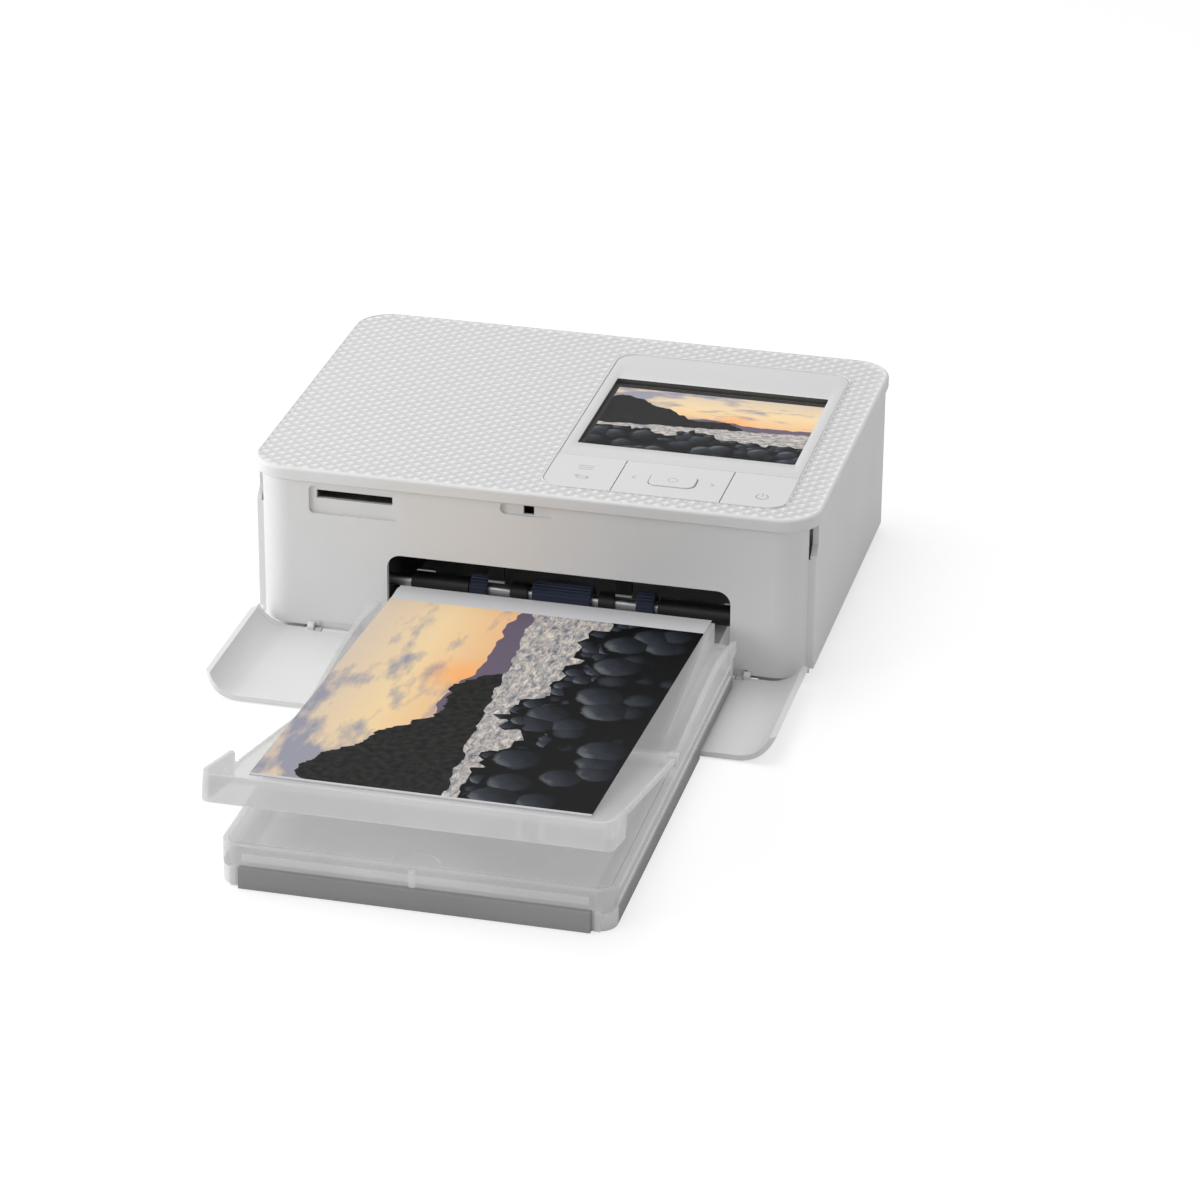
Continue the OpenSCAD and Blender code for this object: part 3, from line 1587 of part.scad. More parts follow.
top_cover();
front_fascia();
left_side_cover();
rear_cover();
base_chassis();
rubber_feet();
case_screws();
front_door();
front_door_pins();
ink_door();
ink_door_pins();
control_panel();
lcd_window();
lcd_module();
menu_key();
nav_rocker();
ok_key();
power_key();
switch_board();
card_socket();
main_board();
power_board();
usb_port();
dc_jack();
fan_frame();
fan_rotor();
left_frame();
right_frame();
feed_shaft();
feed_rollers();
feed_gear();
capstan_roller();
capstan_gear();
pinch_roller();
platen_roller();
reduction_gear();
drive_motor();
motor_shaft();
motor_pinion();
motor_bracket();
head_bracket();
head_heat_sink();
print_head();
head_pivot_pin();
ink_cassette_case();
supply_spool();
take_up_spool();
ink_ribbon();
eject_lever();
paper_guide();
exit_tabs();
cassette_base();
cassette_shell();
inner_lid();
cassette_front_bar();
lift_plate();
paper_stack();
output_tray();
print_sheet();
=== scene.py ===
import math

import bmesh
import bpy
from mathutils import Matrix, Vector


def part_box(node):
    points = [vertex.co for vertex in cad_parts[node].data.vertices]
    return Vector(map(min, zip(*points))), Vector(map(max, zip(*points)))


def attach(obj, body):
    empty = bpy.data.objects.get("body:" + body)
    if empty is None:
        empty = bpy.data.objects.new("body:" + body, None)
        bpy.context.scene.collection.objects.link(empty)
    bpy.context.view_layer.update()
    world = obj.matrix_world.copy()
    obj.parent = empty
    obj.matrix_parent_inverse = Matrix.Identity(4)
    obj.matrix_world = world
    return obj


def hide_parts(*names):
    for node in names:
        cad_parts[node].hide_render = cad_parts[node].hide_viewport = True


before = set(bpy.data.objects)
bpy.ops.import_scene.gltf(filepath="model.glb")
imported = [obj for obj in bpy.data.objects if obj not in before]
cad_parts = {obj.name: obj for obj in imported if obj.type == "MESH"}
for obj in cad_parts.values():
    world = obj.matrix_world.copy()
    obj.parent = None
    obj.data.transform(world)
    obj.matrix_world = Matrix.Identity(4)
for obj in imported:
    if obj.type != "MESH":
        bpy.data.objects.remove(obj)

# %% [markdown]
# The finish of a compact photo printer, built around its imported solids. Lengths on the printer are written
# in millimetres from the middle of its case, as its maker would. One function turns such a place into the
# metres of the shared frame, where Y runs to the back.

bpy.context.view_layer.update()
MM = 0.001
lid_low, lid_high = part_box("top_cover")
case_mid = (lid_low + lid_high) / 2


def place(x, y, z):
    """A place in millimetres from the middle of the case, in metres in the shared frame."""
    return Vector((x * MM, y * MM + case_mid.y, z * MM))


def box_mm(node):
    """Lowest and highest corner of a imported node, in millimetres from the middle of the case."""
    low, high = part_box(node)
    shift = Vector((0, case_mid.y, 0))
    return (low - shift) / MM, (high - shift) / MM


# %% [markdown]
# The camera comes first. It stands 1.4 m away, a little
# to the right and above, with a long lens, as for a catalogue picture. A studio photographer would do the
# same. The axes of the camera are worked out from its bearing and height, so that no aiming constraint is
# needed.

# %% Camera
BEARING = math.radians(13.619)
HEIGHT_ANGLE = math.radians(25.452)
ROLL = math.radians(0.486)
DISTANCE = 1.4231
FOCAL_PIXELS = 4607.1
IMAGE_PIXELS = 1200
target = place(25.68, -74.77, 28.0)
back = Vector((math.sin(BEARING) * math.cos(HEIGHT_ANGLE), -math.cos(BEARING) * math.cos(HEIGHT_ANGLE),
               math.sin(HEIGHT_ANGLE)))
right = Vector((0, 0, 1)).cross(back).normalized()
up = back.cross(right)
rolled_right = math.cos(ROLL) * right + math.sin(ROLL) * up
rolled_up = math.cos(ROLL) * up - math.sin(ROLL) * right
camera_data = bpy.data.cameras.new("studio_camera")
camera_data.sensor_width = 36
camera_data.lens = FOCAL_PIXELS / IMAGE_PIXELS * camera_data.sensor_width
camera_data.clip_start = 0.05
camera_data.clip_end = 50
camera = bpy.data.objects.new("studio_camera", camera_data)
bpy.context.scene.collection.objects.link(camera)
axes = Matrix((rolled_right, rolled_up, back)).transposed().to_4x4()
camera.matrix_world = Matrix.Translation(target + back * DISTANCE) @ axes
bpy.context.scene.camera = camera
bpy.context.scene.view_settings.view_transform = "Standard"
print("camera at", tuple(round(c, 4) for c in camera.matrix_world.translation))

# %% [markdown]
# Every material is a small tree of nodes. One function adds a node, sets it and links it, and gives back
# the socket that the next node needs. A socket goes by its name, or by its place in the node: in a Map
# Range, 0 is the value, 1 and 2 are the range that it comes from, and 3 and 4 the range that it goes to. In
# a Mix of colours, 0 is the share and 6 and 7 are the two colours. Colours are sRGB hex values, turned to
# linear light.

# %% Helpers for materials
COLOURS = {"out": 2, "data_type": "RGBA"}  # makes a Mix node mix colours


def linear(hex_colour):
    """An sRGB hex colour as linear red, green, blue and alpha."""
    parts = [int(hex_colour[i:i + 2], 16) / 255 for i in (1, 3, 5)]
    return [p / 12.92 if p <= 0.04045 else ((p + 0.055) / 1.055) ** 2.4 for p in parts] + [1.0]


def add(tree, kind, inputs=None, out=0, stops=None, **settings):
    """Adds a node with its settings and links, and returns one of its output sockets."""
    node = tree.nodes.new("ShaderNode" + kind)
    for name, value in settings.items():
        setattr(node, name, value)
    for key, value in (inputs or {}).items():
        if isinstance(value, bpy.types.NodeSocket):
            tree.links.new(value, node.inputs[key])
        else:
            node.inputs[key].default_value = value
    if stops:
        elements = node.color_ramp.elements
        while len(elements) < len(stops):
            elements.new(0.5)
        for element, (position, colour) in zip(elements, stops):
            element.position = position
            element.color = linear(colour)
    return node.outputs[out] if node.outputs else node


def new_material(name):
    """An empty material, its node tree and its output node."""
    material = bpy.data.materials.new(name)
    material.use_nodes = True
    tree = material.node_tree
    tree.nodes.clear()
    output = tree.nodes.new("ShaderNodeOutputMaterial")
    return material, tree, output


def surface(name, settings):
    """A material with one Principled shader; settings holds its sockets, given the tree."""
    material, tree, output = new_material(name)
    shader = add(tree, "BsdfPrincipled", settings(tree))
    tree.links.new(shader, output.inputs["Surface"])
    return material


materials = {}
print("middle grey in linear light", round(linear("#808080")[0], 3))

# %% [markdown]
# The case is injection-moulded ABS. Its tool was spark eroded, which leaves a fine even grain: the eye sees
# a soft satin white with no sharp reflections. The grain could be modelled, but it is far too fine, so it
# is noise in the bump and the gloss. A very slow change of tone is added, as thick and thin walls have.

# %% Moulded ABS of the case
ABS_IOR = 1.53  # near enough for the other plastics, the rubber and the glaze too
ABS_WHITE = "#E3E3E3"
GRAIN_MM = 0.35  # coarser than the real 0.1 mm, so that it shows


def grained(tree, roughness, grain_mm, depth_mm):
    """Gloss and grain of a moulded face, whose grain has a width and a depth in millimetres."""
    where = add(tree, "TexCoord", out="Object")
    grain = add(tree, "TexNoise", {"Vector": where, "Scale": 1 / (grain_mm * MM), "Detail": 3})
    gloss = add(tree, "MapRange", {0: grain, 3: roughness - 0.05, 4: roughness + 0.06})
    bump = add(tree, "Bump", {"Height": grain, "Distance": depth_mm * MM, "Strength": 0.5})
    return {"Roughness": gloss, "Normal": bump, "IOR": ABS_IOR}


def moulded(base, tone, roughness, grain_mm, depth_mm):
    """Sockets of a moulded plastic: its colour, a slightly darker tone, its gloss and its grain."""
    def settings(tree):
        where = add(tree, "TexCoord", out="Object")
        cloud = add(tree, "TexNoise", {"Vector": where, "Scale": 18, "Detail": 2})
        colour = add(tree, "ValToRGB", {0: cloud}, stops=[(0.35, tone), (0.65, base)])
        return {"Base Color": colour, **grained(tree, roughness, grain_mm, depth_mm)}
    return settings


smooth_key = moulded("#DCDCDC", "#DADADA", 0.32, 0.5, 0.004)
materials["case"] = surface("abs_spark_eroded_white", moulded(ABS_WHITE, "#DFDFDF", 0.5, GRAIN_MM, 0.02))
materials["panel"] = surface("abs_smooth_white", moulded("#D6D6D6", "#D4D4D4", 0.3, 0.5, 0.004))
materials["keys"] = surface("abs_smooth_keys", smooth_key)
print("case material", materials["case"].name)

# %% [markdown]
# The lid is the same ABS with an engraved pattern of diamonds, which is cut further on as real facets. Its
# finish adds the fine grain, and painted light: a darker tone in the grooves as painted shade, and a lighter
# tone on the peaks as painted highlights. The tone follows the height of the face, so that it keeps to the
# grooves whatever the pattern is.

# %% ABS of the lid
DIAMOND_DEPTH = 0.5
lid_half_w = (lid_high.x - lid_low.x) / 2 / MM
lid_half_d = (lid_high.y - lid_low.y) / 2 / MM
lid_top = lid_high.z / MM


def engraved(tree):
    """A moulded face with painted shade in its grooves and painted highlights on its peaks."""
    height = add(tree, "SeparateXYZ", {0: add(tree, "TexCoord", out="Object")}, out="Z")
    from_groove = add(tree, "MapRange", {0: height, 1: (lid_top - DIAMOND_DEPTH) * MM, 2: lid_top * MM})
    # painted shade in the grooves, painted highlights on the peaks
    colour = add(tree, "ValToRGB", {0: from_groove},
                 stops=[(0.0, "#CFCFCF"), (0.42, "#D3D3D3"), (0.66, "#E8E8E8")])
    return {"Base Color": colour, **grained(tree, 0.4, GRAIN_MM, 0.015)}


materials["lid"] = surface("abs_engraved_painted_light", engraved)
print("lid half width and depth", round(lid_half_w, 2), round(lid_half_d, 2), "mm")

# %% [markdown]
# The cassette and its tray are translucent polypropylene with a frosted face. Light goes into them and is
# scattered, so what lies behind a wall is only a shade, and a wall casts hardly any shadow. Scattering
# below the surface and a part of see-through give that, and shadow rays pass more easily than the eye does.
# A weak white emission on top is painted light: the plastic glows a little, which brightens it and lifts the
# shade under the tray, though it is no lamp.

# %% Frosted polypropylene
PP_IOR = 1.49
OPACITY = 0.58
SHADOW_OPACITY = 0.2
FROST_MM = 0.5  # coarser than the real frosting, so that it shows
PAINTED_GLOW = 0.21  # painted glow: an emission that brightens the part and lifts its shade, though it is no lamp


def frosted(tree):
    """Sockets of the frosted plastic, with faint streaks of its flow and a painted glow."""
    where = add(tree, "TexCoord", out="Object")
    streaks = add(tree, "TexNoise", {"Vector": where, "Scale": 25, "Detail": 3})
    colour = add(tree, "ValToRGB", {0: streaks}, stops=[(0.35, "#A2A2A2"), (0.65, "#B2B2B2")])
    grain = add(tree, "TexNoise", {"Vector": where, "Scale": 1 / (FROST_MM * MM), "Detail": 2})
    gloss = add(tree, "MapRange", {0: grain, 3: 0.26, 4: 0.38})
    bump = add(tree, "Bump", {"Height": grain, "Distance": 0.02 * MM, "Strength": 0.4})
    shadow_ray = add(tree, "LightPath", out="Is Shadow Ray")
    passes = add(tree, "MapRange", {0: shadow_ray, 3: OPACITY, 4: SHADOW_OPACITY})
    # the white emission is a painted glow, not light guided in by the plastic
    return {"Base Color": colour, "Roughness": gloss, "Normal": bump, "IOR": PP_IOR,
            "Subsurface Weight": 0.35, "Subsurface Radius": (1.0, 1.0, 1.0), "Subsurface Scale": 0.005,
            "Emission Color": linear("#FFFFFF"), "Emission Strength": PAINTED_GLOW, "Alpha": passes}


materials["frosted"] = surface("polypropylene_frosted", frosted)
print("frosted plastic lets", round(1 - OPACITY, 2), "of the view through")

# %% [markdown]
# The other plastics are ABS with their own grain, acetal for the gears, and rubber for what has to grip.
# Two pieces have two tones: the grey tub, whose front corners are frosted and light, and the hold-down
# tabs, which are pale below a black bar. Two materials on one solid would need its faces picked, so the
# place decides.

# %% Other plastics and rubbers
TUB_CHANGE = (-222.4, -221.6)
TABS_CHANGE = (24.0, 24.3)
textured_grey = moulded("#959595", "#8F8F8F", 0.5, 0.6, 0.05)
materials["grey"] = surface("abs_textured_grey", textured_grey)
materials["chassis"] = surface("abs_frame_white", moulded("#D2D2D0", "#CCCCCA", 0.5, 0.5, 0.02))


def tub(tree):
    """The grey tub, whose front corners beside the bar are frosted and light."""
    settings = textured_grey(tree)
    along = add(tree, "SeparateXYZ", {0: add(tree, "TexCoord", out="Object")}, out="Y")
    start, end = (place(0, y, 0).y for y in TUB_CHANGE)
    front = add(tree, "MapRange", {0: along, 1: start, 2: end, 3: 1.0, 4: 0.0})
    two_tones = {0: front, 6: settings["Base Color"], 7: linear("#DCDCDC")}
    settings["Base Color"] = add(tree, "Mix", two_tones, **COLOURS)
    return settings


materials["tub"] = surface("abs_textured_tub", tub)


def hold_down_tabs(tree):
    """Black crossbar above, pale tabs below it."""
    settings = moulded("#0E0F10", "#0A0A0B", 0.5, 0.5, 0.02)(tree)
    height = add(tree, "SeparateXYZ", {0: add(tree, "TexCoord", out="Object")}, out="Z")
    start, end = (z * MM for z in TABS_CHANGE)
    low = add(tree, "MapRange", {0: height, 1: start, 2: end, 3: 1.0, 4: 0.0})
    two_tones = {0: low, 6: settings["Base Color"], 7: linear("#8F9194")}
    settings["Base Color"] = add(tree, "Mix", two_tones, **COLOURS)
    settings["Specular IOR Level"] = 0.15
    return settings


materials["tabs"] = surface("abs_tabs", hold_down_tabs)
materials["black"] = surface("abs_black", moulded("#141517", "#101112", 0.48, 0.5, 0.02))
materials["gear"] = surface("acetal_ivory", moulded("#E6E2D4", "#DEDACB", 0.35, 0.5, 0.01))
materials["ink_case"] = surface("abs_smoke_grey", moulded("#5C5E62", "#55575B", 0.4, 0.5, 0.02))
materials["rubber_blue"] = surface("rubber_navy", moulded("#2C3650", "#252E45", 0.6, 0.4, 0.03))
materials["rubber_dark"] = surface("rubber_black", moulded("#2A2A2B", "#222223", 0.75, 0.4, 0.03))
print("plastics and rubbers made:", len(materials))

# %% [markdown]
# Metals inside: tinned sheet steel for the frames, brackets and sockets, drawn steel for the shafts and an
# extruded aluminium heat sink. A metal's colour is its reflection, so only roughness and fine lines differ.
# The lines of brushing run along X, the way that the sheets and the bars were drawn.

# %% Steel and aluminium


def drawn_metal(base, roughness, line_mm):
    """Sockets of a metal with fine lines along X; line_mm is their spacing, drawn coarser than it is."""
    def settings(tree):
        where = add(tree, "TexCoord", out="Object")
        stretched = add(tree, "VectorMath", {0: where, 1: (0.04, 1, 1)}, operation="MULTIPLY")
        lines = add(tree, "TexNoise", {"Vector": stretched, "Scale": 1 / (line_mm * MM), "Detail": 2})
        gloss = add(tree, "MapRange", {0: lines, 3: roughness - 0.08, 4: roughness + 0.1})
        bump = add(tree, "Bump", {"Height": lines, "Distance": 0.01 * MM, "Strength": 0.3})
        return {"Base Color": linear(base), "Metallic": 1.0, "Roughness": gloss, "Normal": bump}
    return settings


materials["steel"] = surface("steel_tinned", drawn_metal("#B9BABC", 0.38, 0.4))
materials["shaft"] = surface("steel_drawn", drawn_metal("#C9CACC", 0.3, 0.4))
materials["coated"] = surface("steel_black_coated", moulded("#0C0D0E", "#08090A", 0.6, 0.4, 0.01))
materials["aluminium"] = surface("aluminium_extruded", drawn_metal("#C6C8CA", 0.4, 0.5))
materials["motor"] = surface("steel_zinc_plated", drawn_metal("#A3A5A8", 0.42, 0.6))
print("metals made")

# %% [markdown]
# The rest of the inside: the glazed ceramic strip of the print head, the dyed polyester film of the ribbon,
# the coated paper, and the glass-epoxy boards. A board is green lacquer over copper tracks, which show as
# slightly lighter lines. An image of real tracks would be a file, so long flat bricks with thin joints
# stand for them.

# %% Ceramic, film, paper and circuit boards
TRACK_LENGTH, TRACK_SPACING, TRACK_WIDTH = 11.0, 2.2, 0.4
materials["ceramic"] = surface("ceramic_glazed_ivory", moulded("#D8D2C0", "#CFC8B4", 0.25, 0.3, 0.005))
materials["ribbon"] = surface("polyester_film_magenta", moulded("#5A2146", "#4B1B3B", 0.22, 2.0, 0.01))
materials["paper"] = surface("photo_paper_coated", moulded("#E9E9E8", "#E6E6E6", 0.35, 0.3, 0.003))


def circuit(tree):
    """Sockets of a circuit board with its tracks."""
    where = add(tree, "TexCoord", out="Object")
    tracks = add(tree, "TexBrick", {
        "Vector": where, "Color1": linear("#2E6B47"), "Color2": linear("#27603F"),
        "Mortar": linear("#3F8059"), "Scale": 1.0, "Mortar Size": TRACK_WIDTH * MM,
        "Brick Width": TRACK_LENGTH * MM, "Row Height": TRACK_SPACING * MM})
    return {"Base Color": tracks, "Roughness": 0.35, "IOR": 1.5}


materials["board"] = surface("epoxy_board_green", circuit)
print("finishes so far:", len(materials))

# %% [markdown]
# The picture on the screen and on the print is the same one: a made-up lake at dusk, with a warm sky, two
# ridges, ripples and dark stones on the shore. A real picture would need an image file, so it is painted
# with noise instead. u runs across the picture and v runs up it, both from 0 to 1.

# %% The picture


def lake_at_dusk(tree, u, v, proportion):
    """Colour of the picture at u, v; proportion is its width divided by its height."""
    wide = add(tree, "Math", {0: u, 1: proportion}, operation="MULTIPLY")
    spot = add(tree, "CombineXYZ", {0: wide, 1: v})

    # sky: clear above the ridges, with long soft clouds
    sky = add(tree, "ValToRGB", {0: v}, stops=[(0.42, "#D98E6C"), (0.56, "#F0BE8C"), (0.78, "#F3D7A8"),
                                               (1.0, "#D9C7B4")])
    long_way = add(tree, "VectorMath", {0: spot, 1: (1.1, 3.4, 1)}, operation="MULTIPLY")
    cloud = add(tree, "TexNoise", {"Vector": long_way, "Scale": 2.6, "Detail": 6, "Roughness": 0.55})
    cloudier = add(tree, "Math", {0: u, 1: -0.22, 2: 0.13}, operation="MULTIPLY_ADD")
    cloud = add(tree, "Math", {0: cloud, 1: cloudier}, operation="ADD")
    cover = add(tree, "MapRange", {0: cloud, 1: 0.5, 2: 0.64, 3: 0.0, 4: 0.9})
    sky = add(tree, "Mix", {0: cover, 6: sky, 7: linear("#8F93A6")}, **COLOURS)
    sun = (0.62 * proportion, 0.6, 0)
    from_sun = add(tree, "VectorMath", {0: spot, 1: sun}, out="Value", operation="DISTANCE")
    glow = add(tree, "MapRange", {0: from_sun, 1: 0.02, 2: 0.16, 3: 0.9, 4: 0.0})
    sky = add(tree, "Mix", {0: glow, 6: sky, 7: linear("#FFB46E")}, **COLOURS)

    # far ridges, in the haze
    far_wave = add(tree, "TexNoise", {"W": wide, "Scale": 2.3, "Detail": 3}, noise_dimensions="1D")
    far_height = add(tree, "MapRange", {0: far_wave, 3: 0.47, 4: 0.72})
    in_far = add(tree, "Math", {0: v, 1: far_height}, operation="LESS_THAN")
    land = add(tree, "Mix", {0: in_far, 6: sky, 7: linear("#6A5F70")}, **COLOURS)

    # near hill, dark with trees on its line, high on the left and down to the water on the right
    near_wave = add(tree, "TexNoise", {"W": wide, "Scale": 1.9, "Detail": 8, "Roughness": 0.5},
                    noise_dimensions="1D")
    lean = add(tree, "Math", {0: u, 1: -0.55, 2: 0.78}, operation="MULTIPLY_ADD")
    near_height = add(tree, "MapRange", {0: near_wave, 1: 0.25, 2: 0.75, 3: -0.1, 4: 0.22})
    near_height = add(tree, "Math", {0: near_height, 1: lean}, operation="ADD")
    in_near = add(tree, "Math", {0: v, 1: near_height}, operation="LESS_THAN")
    leaves = add(tree, "TexNoise", {"Vector": spot, "Scale": 40, "Detail": 4})
    wood = add(tree, "ValToRGB", {0: leaves}, stops=[(0.35, "#121314"), (0.7, "#2B2B29")])
    land = add(tree, "Mix", {0: in_near, 6: land, 7: wood}, **COLOURS)

    # lake, with ripples that run along the shore
    flat_way = add(tree, "VectorMath", {0: spot, 1: (1, 2.6, 1)}, operation="MULTIPLY")
    ripple = add(tree, "TexNoise", {"Vector": flat_way, "Scale": 22, "Detail": 8, "Roughness": 0.8,
                                    "Distortion": 0.6})
    water = add(tree, "ValToRGB", {0: ripple},
                stops=[(0.34, "#4A505A"), (0.44, "#8C8E95"), (0.53, "#BFB7B0"), (0.64, "#EFE5DA")])
    bank = add(tree, "Math", {0: u, 1: 0.1, 2: 0.4}, operation="MULTIPLY_ADD")
    wander = add(tree, "TexNoise", {"Vector": spot, "Scale": 9, "Detail": 4})
    bank = add(tree, "Math", {0: wander, 1: 0.07, 2: bank}, operation="MULTIPLY_ADD")
    in_lake = add(tree, "Math", {0: v, 1: bank}, operation="LESS_THAN")
    land = add(tree, "Mix", {0: in_lake, 6: land, 7: water}, **COLOURS)

    # round stones on the shore, small ones first: each cell holds one stone, lit from the upper left
    for scale, reach, shore_low in ((17.0, 0.031, 0.24), (7.5, 0.07, 0.16)):
        centre = add(tree, "TexVoronoi", {"Vector": spot, "Scale": scale, "Randomness": 0.7}, out="Position")
        from_centre = add(tree, "VectorMath", {0: spot, 1: centre}, operation="SUBTRACT")
        away = add(tree, "VectorMath", {0: from_centre}, out="Value", operation="LENGTH")
        rough = add(tree, "TexNoise", {"Vector": spot, "Scale": scale * 4, "Detail": 6})
        edge = add(tree, "Math", {0: rough, 1: reach * 0.35, 2: away}, operation="MULTIPLY_ADD")
        stone = add(tree, "MapRange", {0: edge, 1: reach * 1.28, 2: reach * 1.12})
        to_light = (-0.6 / reach, 0.8 / reach, 0)
        lit_side = add(tree, "VectorMath", {0: from_centre, 1: to_light}, out="Value",
                       operation="DOT_PRODUCT")
        lit = add(tree, "Math", {0: rough, 1: 0.7, 2: lit_side}, operation="MULTIPLY_ADD")
        shade = add(tree, "ValToRGB", {0: add(tree, "MapRange", {0: lit, 1: -0.9, 2: 1.5})},
                    stops=[(0.0, "#090A0C"), (0.4, "#1C2026"), (0.72, "#363B43"), (1.0, "#777A7D")])
        stones = add(tree, "Mix", {0: stone, 6: linear("#07080A"), 7: shade}, **COLOURS)
        centre_x = add(tree, "SeparateXYZ", {0: centre})
        centre_y = add(tree, "SeparateXYZ", {0: centre}, out="Y")
        shore = add(tree, "TexNoise", {"W": centre_x, "Scale": 2.4, "Detail": 1}, noise_dimensions="1D")
        shore_line = add(tree, "MapRange", {0: shore, 1: 0.3, 2: 0.7, 3: shore_low, 4: shore_low + 0.2})
        in_shore = add(tree, "Math", {0: centre_y, 1: shore_line}, operation="LESS_THAN")
        land = add(tree, "Mix", {0: in_shore, 6: land, 7: stones}, **COLOURS)
    return land


def picture_fraction(tree, axis, start_mm, end_mm):
    """0 to 1 along X or Y between two places in millimetres from the middle of the case."""
    where = add(tree, "TexCoord", out="Object")
    along = add(tree, "SeparateXYZ", {0: where}, out=axis)
    offset = case_mid.y if axis == "Y" else 0
    return add(tree, "MapRange", {0: along, 1: start_mm * MM + offset, 2: end_mm * MM + offset}, clamp=False)


def inside(tree, fraction):
    """1 where a fraction lies between 0 and 1."""
    above = add(tree, "Math", {0: fraction, 1: 0.0}, operation="GREATER_THAN")
    below = add(tree, "Math", {0: fraction, 1: 1.0}, operation="LESS_THAN")
    return add(tree, "Math", {0: above, 1: below}, operation="MULTIPLY")


print("picture tree ready")

# %% [markdown]
# The print lies with its sky to the left. A dye-transfer print has no dots: it is continuous, and a clear
# overcoat makes it glossy. The gloss is turned down here, because the white studio would wash the picture
# out. The torn-off ends leave a band at the back and a thin edge in front, which are white paper, but are
# painted a blue-grey darker than the paper, as painted shade.

# %% Print on photo paper
print_low, print_high = box_mm("print_sheet")
BAND_MM = 11.5
EDGE_MM = 1.2
PRINT_PROPORTION = 1.43


def printed(tree):
    """Sockets of the print: the picture between its two ends, which are painted a blue-grey as painted
    shade.
    """
    u = picture_fraction(tree, "Y", print_low.y + EDGE_MM, print_high.y - BAND_MM)
    v = picture_fraction(tree, "X", print_high.x, print_low.x)
    colour = lake_at_dusk(tree, u, v, PRINT_PROPORTION)
    # the two ends are painted a blue-grey, darker than white paper: painted shade
    here = add(tree, "Mix", {0: inside(tree, u), 6: linear("#CFCFD2"), 7: colour}, **COLOURS)
    return {"Base Color": here, "Roughness": 0.4, "IOR": 1.5, "Specular IOR Level": 0.03}


materials["print"] = surface("photo_print_glossy", printed)
print("print from", round(print_low.y, 1), "to", round(print_high.y, 1), "mm")

# %% [markdown]
# The display is a liquid crystal panel: it makes its own light, so the picture is emission, over a black
# that still reflects a little. Around the picture the cell's frame is dark grey.

# %% Display
screen_low, screen_high = box_mm("lcd_window")
SCREEN_BACK_BAND = 2.2
SCREEN_LEFT_BAND = 1.0
SCREEN_PROPORTION = 1.35


def display(tree):
    """Sockets of the lit panel, whose frame stays dark."""
    u = picture_fraction(tree, "X", screen_low.x + SCREEN_LEFT_BAND, screen_high.x)
    v = picture_fraction(tree, "Y", screen_low.y, screen_high.y - SCREEN_BACK_BAND)
    colour = lake_at_dusk(tree, u, v, SCREEN_PROPORTION)
    both = add(tree, "Math", {0: inside(tree, u), 1: inside(tree, v)}, operation="MULTIPLY")
    lit = add(tree, "Mix", {0: both, 6: linear("#3C3C3A"), 7: colour}, **COLOURS)
    return {"Base Color": linear("#0A0A0B"), "Roughness": 0.35, "Specular IOR Level": 0.03,
            "Emission Color": lit, "Emission Strength": 1.28}


materials["display"] = surface("liquid_crystal_panel", display)
print("screen", round(screen_high.x - screen_low.x, 1), "mm wide")

# %% [markdown]
# Over the display lies a clear acrylic window, in a soft grey foam gasket. Clear glass could be true
# transmission, but a thin plate hardly bends light and would need many bounces, so it is mostly see-through
# with a weak reflection on top. The marks on the keys are grey printed ink, a little darker than the keys.

# %% Window, gasket and ink
materials["bezel"] = surface("foam_gasket_grey", moulded("#4C4C4A", "#444442", 0.6, 0.4, 0.02))
materials["ink"] = surface("printed_mark_grey", moulded("#A9A9A9", "#A3A3A3", 0.4, 0.5, 0.002))


def glass(tree):
    """Sockets of the clear window, with the faint haze of wiping."""
    where = add(tree, "TexCoord", out="Object")
    haze = add(tree, "TexNoise", {"Vector": where, "Scale": 120, "Detail": 2})
    gloss = add(tree, "MapRange", {0: haze, 3: 0.04, 4: 0.1})
    return {"Base Color": linear("#101010"), "Roughness": gloss, "IOR": PP_IOR, "Specular IOR Level": 0.15,
            "Alpha": 0.1}


materials["glass"] = surface("acrylic_clear", glass)
print("materials:", ", ".join(sorted(m.name for m in materials.values())))

# %% [markdown]
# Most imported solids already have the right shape, but their edges are knife sharp, as no moulded edge is.
# Modifiers round them and leave the solid itself alone: facets in one plane are joined, then every edge of
# more than 35 degrees gets a small round, and weighted normals keep the flat faces flat.

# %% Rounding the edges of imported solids


def soften(node, width_mm, segments=2, angle=35):
    """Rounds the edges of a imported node, or of a piece, with modifiers."""
    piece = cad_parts[node] if isinstance(node, str) else node
    weld = piece.modifiers.new("weld", "WELD")
    weld.merge_threshold = 0.004 * MM
    flat = piece.modifiers.new("flatten", "DECIMATE")
    flat.decimate_type = "DISSOLVE"
    flat.angle_limit = math.radians(1.5)
    bevel = piece.modifiers.new("round", "BEVEL")
    bevel.width = width_mm * MM
    bevel.segments = segments
    bevel.limit_method = "ANGLE"
    bevel.angle_limit = math.radians(angle)
    normals = piece.modifiers.new("normals", "WEIGHTED_NORMAL")
    normals.keep_sharp = True
    return piece


def dress(finish, *nodes):
    """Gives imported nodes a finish."""
    for node in nodes:
        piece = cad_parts[node]
        if not piece.material_slots:
            piece.data.materials.append(None)
        for slot in piece.material_slots:
            slot.link = "OBJECT"
            slot.material = materials[finish]


print("packed nodes", len(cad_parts))

# %% [markdown]
# Pieces that need softer or richer shapes than the solids are lofted: an outline is repeated at several
# heights, each ring a little smaller or higher, and neighbouring rings are joined with four-sided faces.
# The outline is a rectangle whose corners have their own radii, always with the same number of points, so
# that any two outlines can be joined.

# %% Lofting
CORNER_STEPS = 8


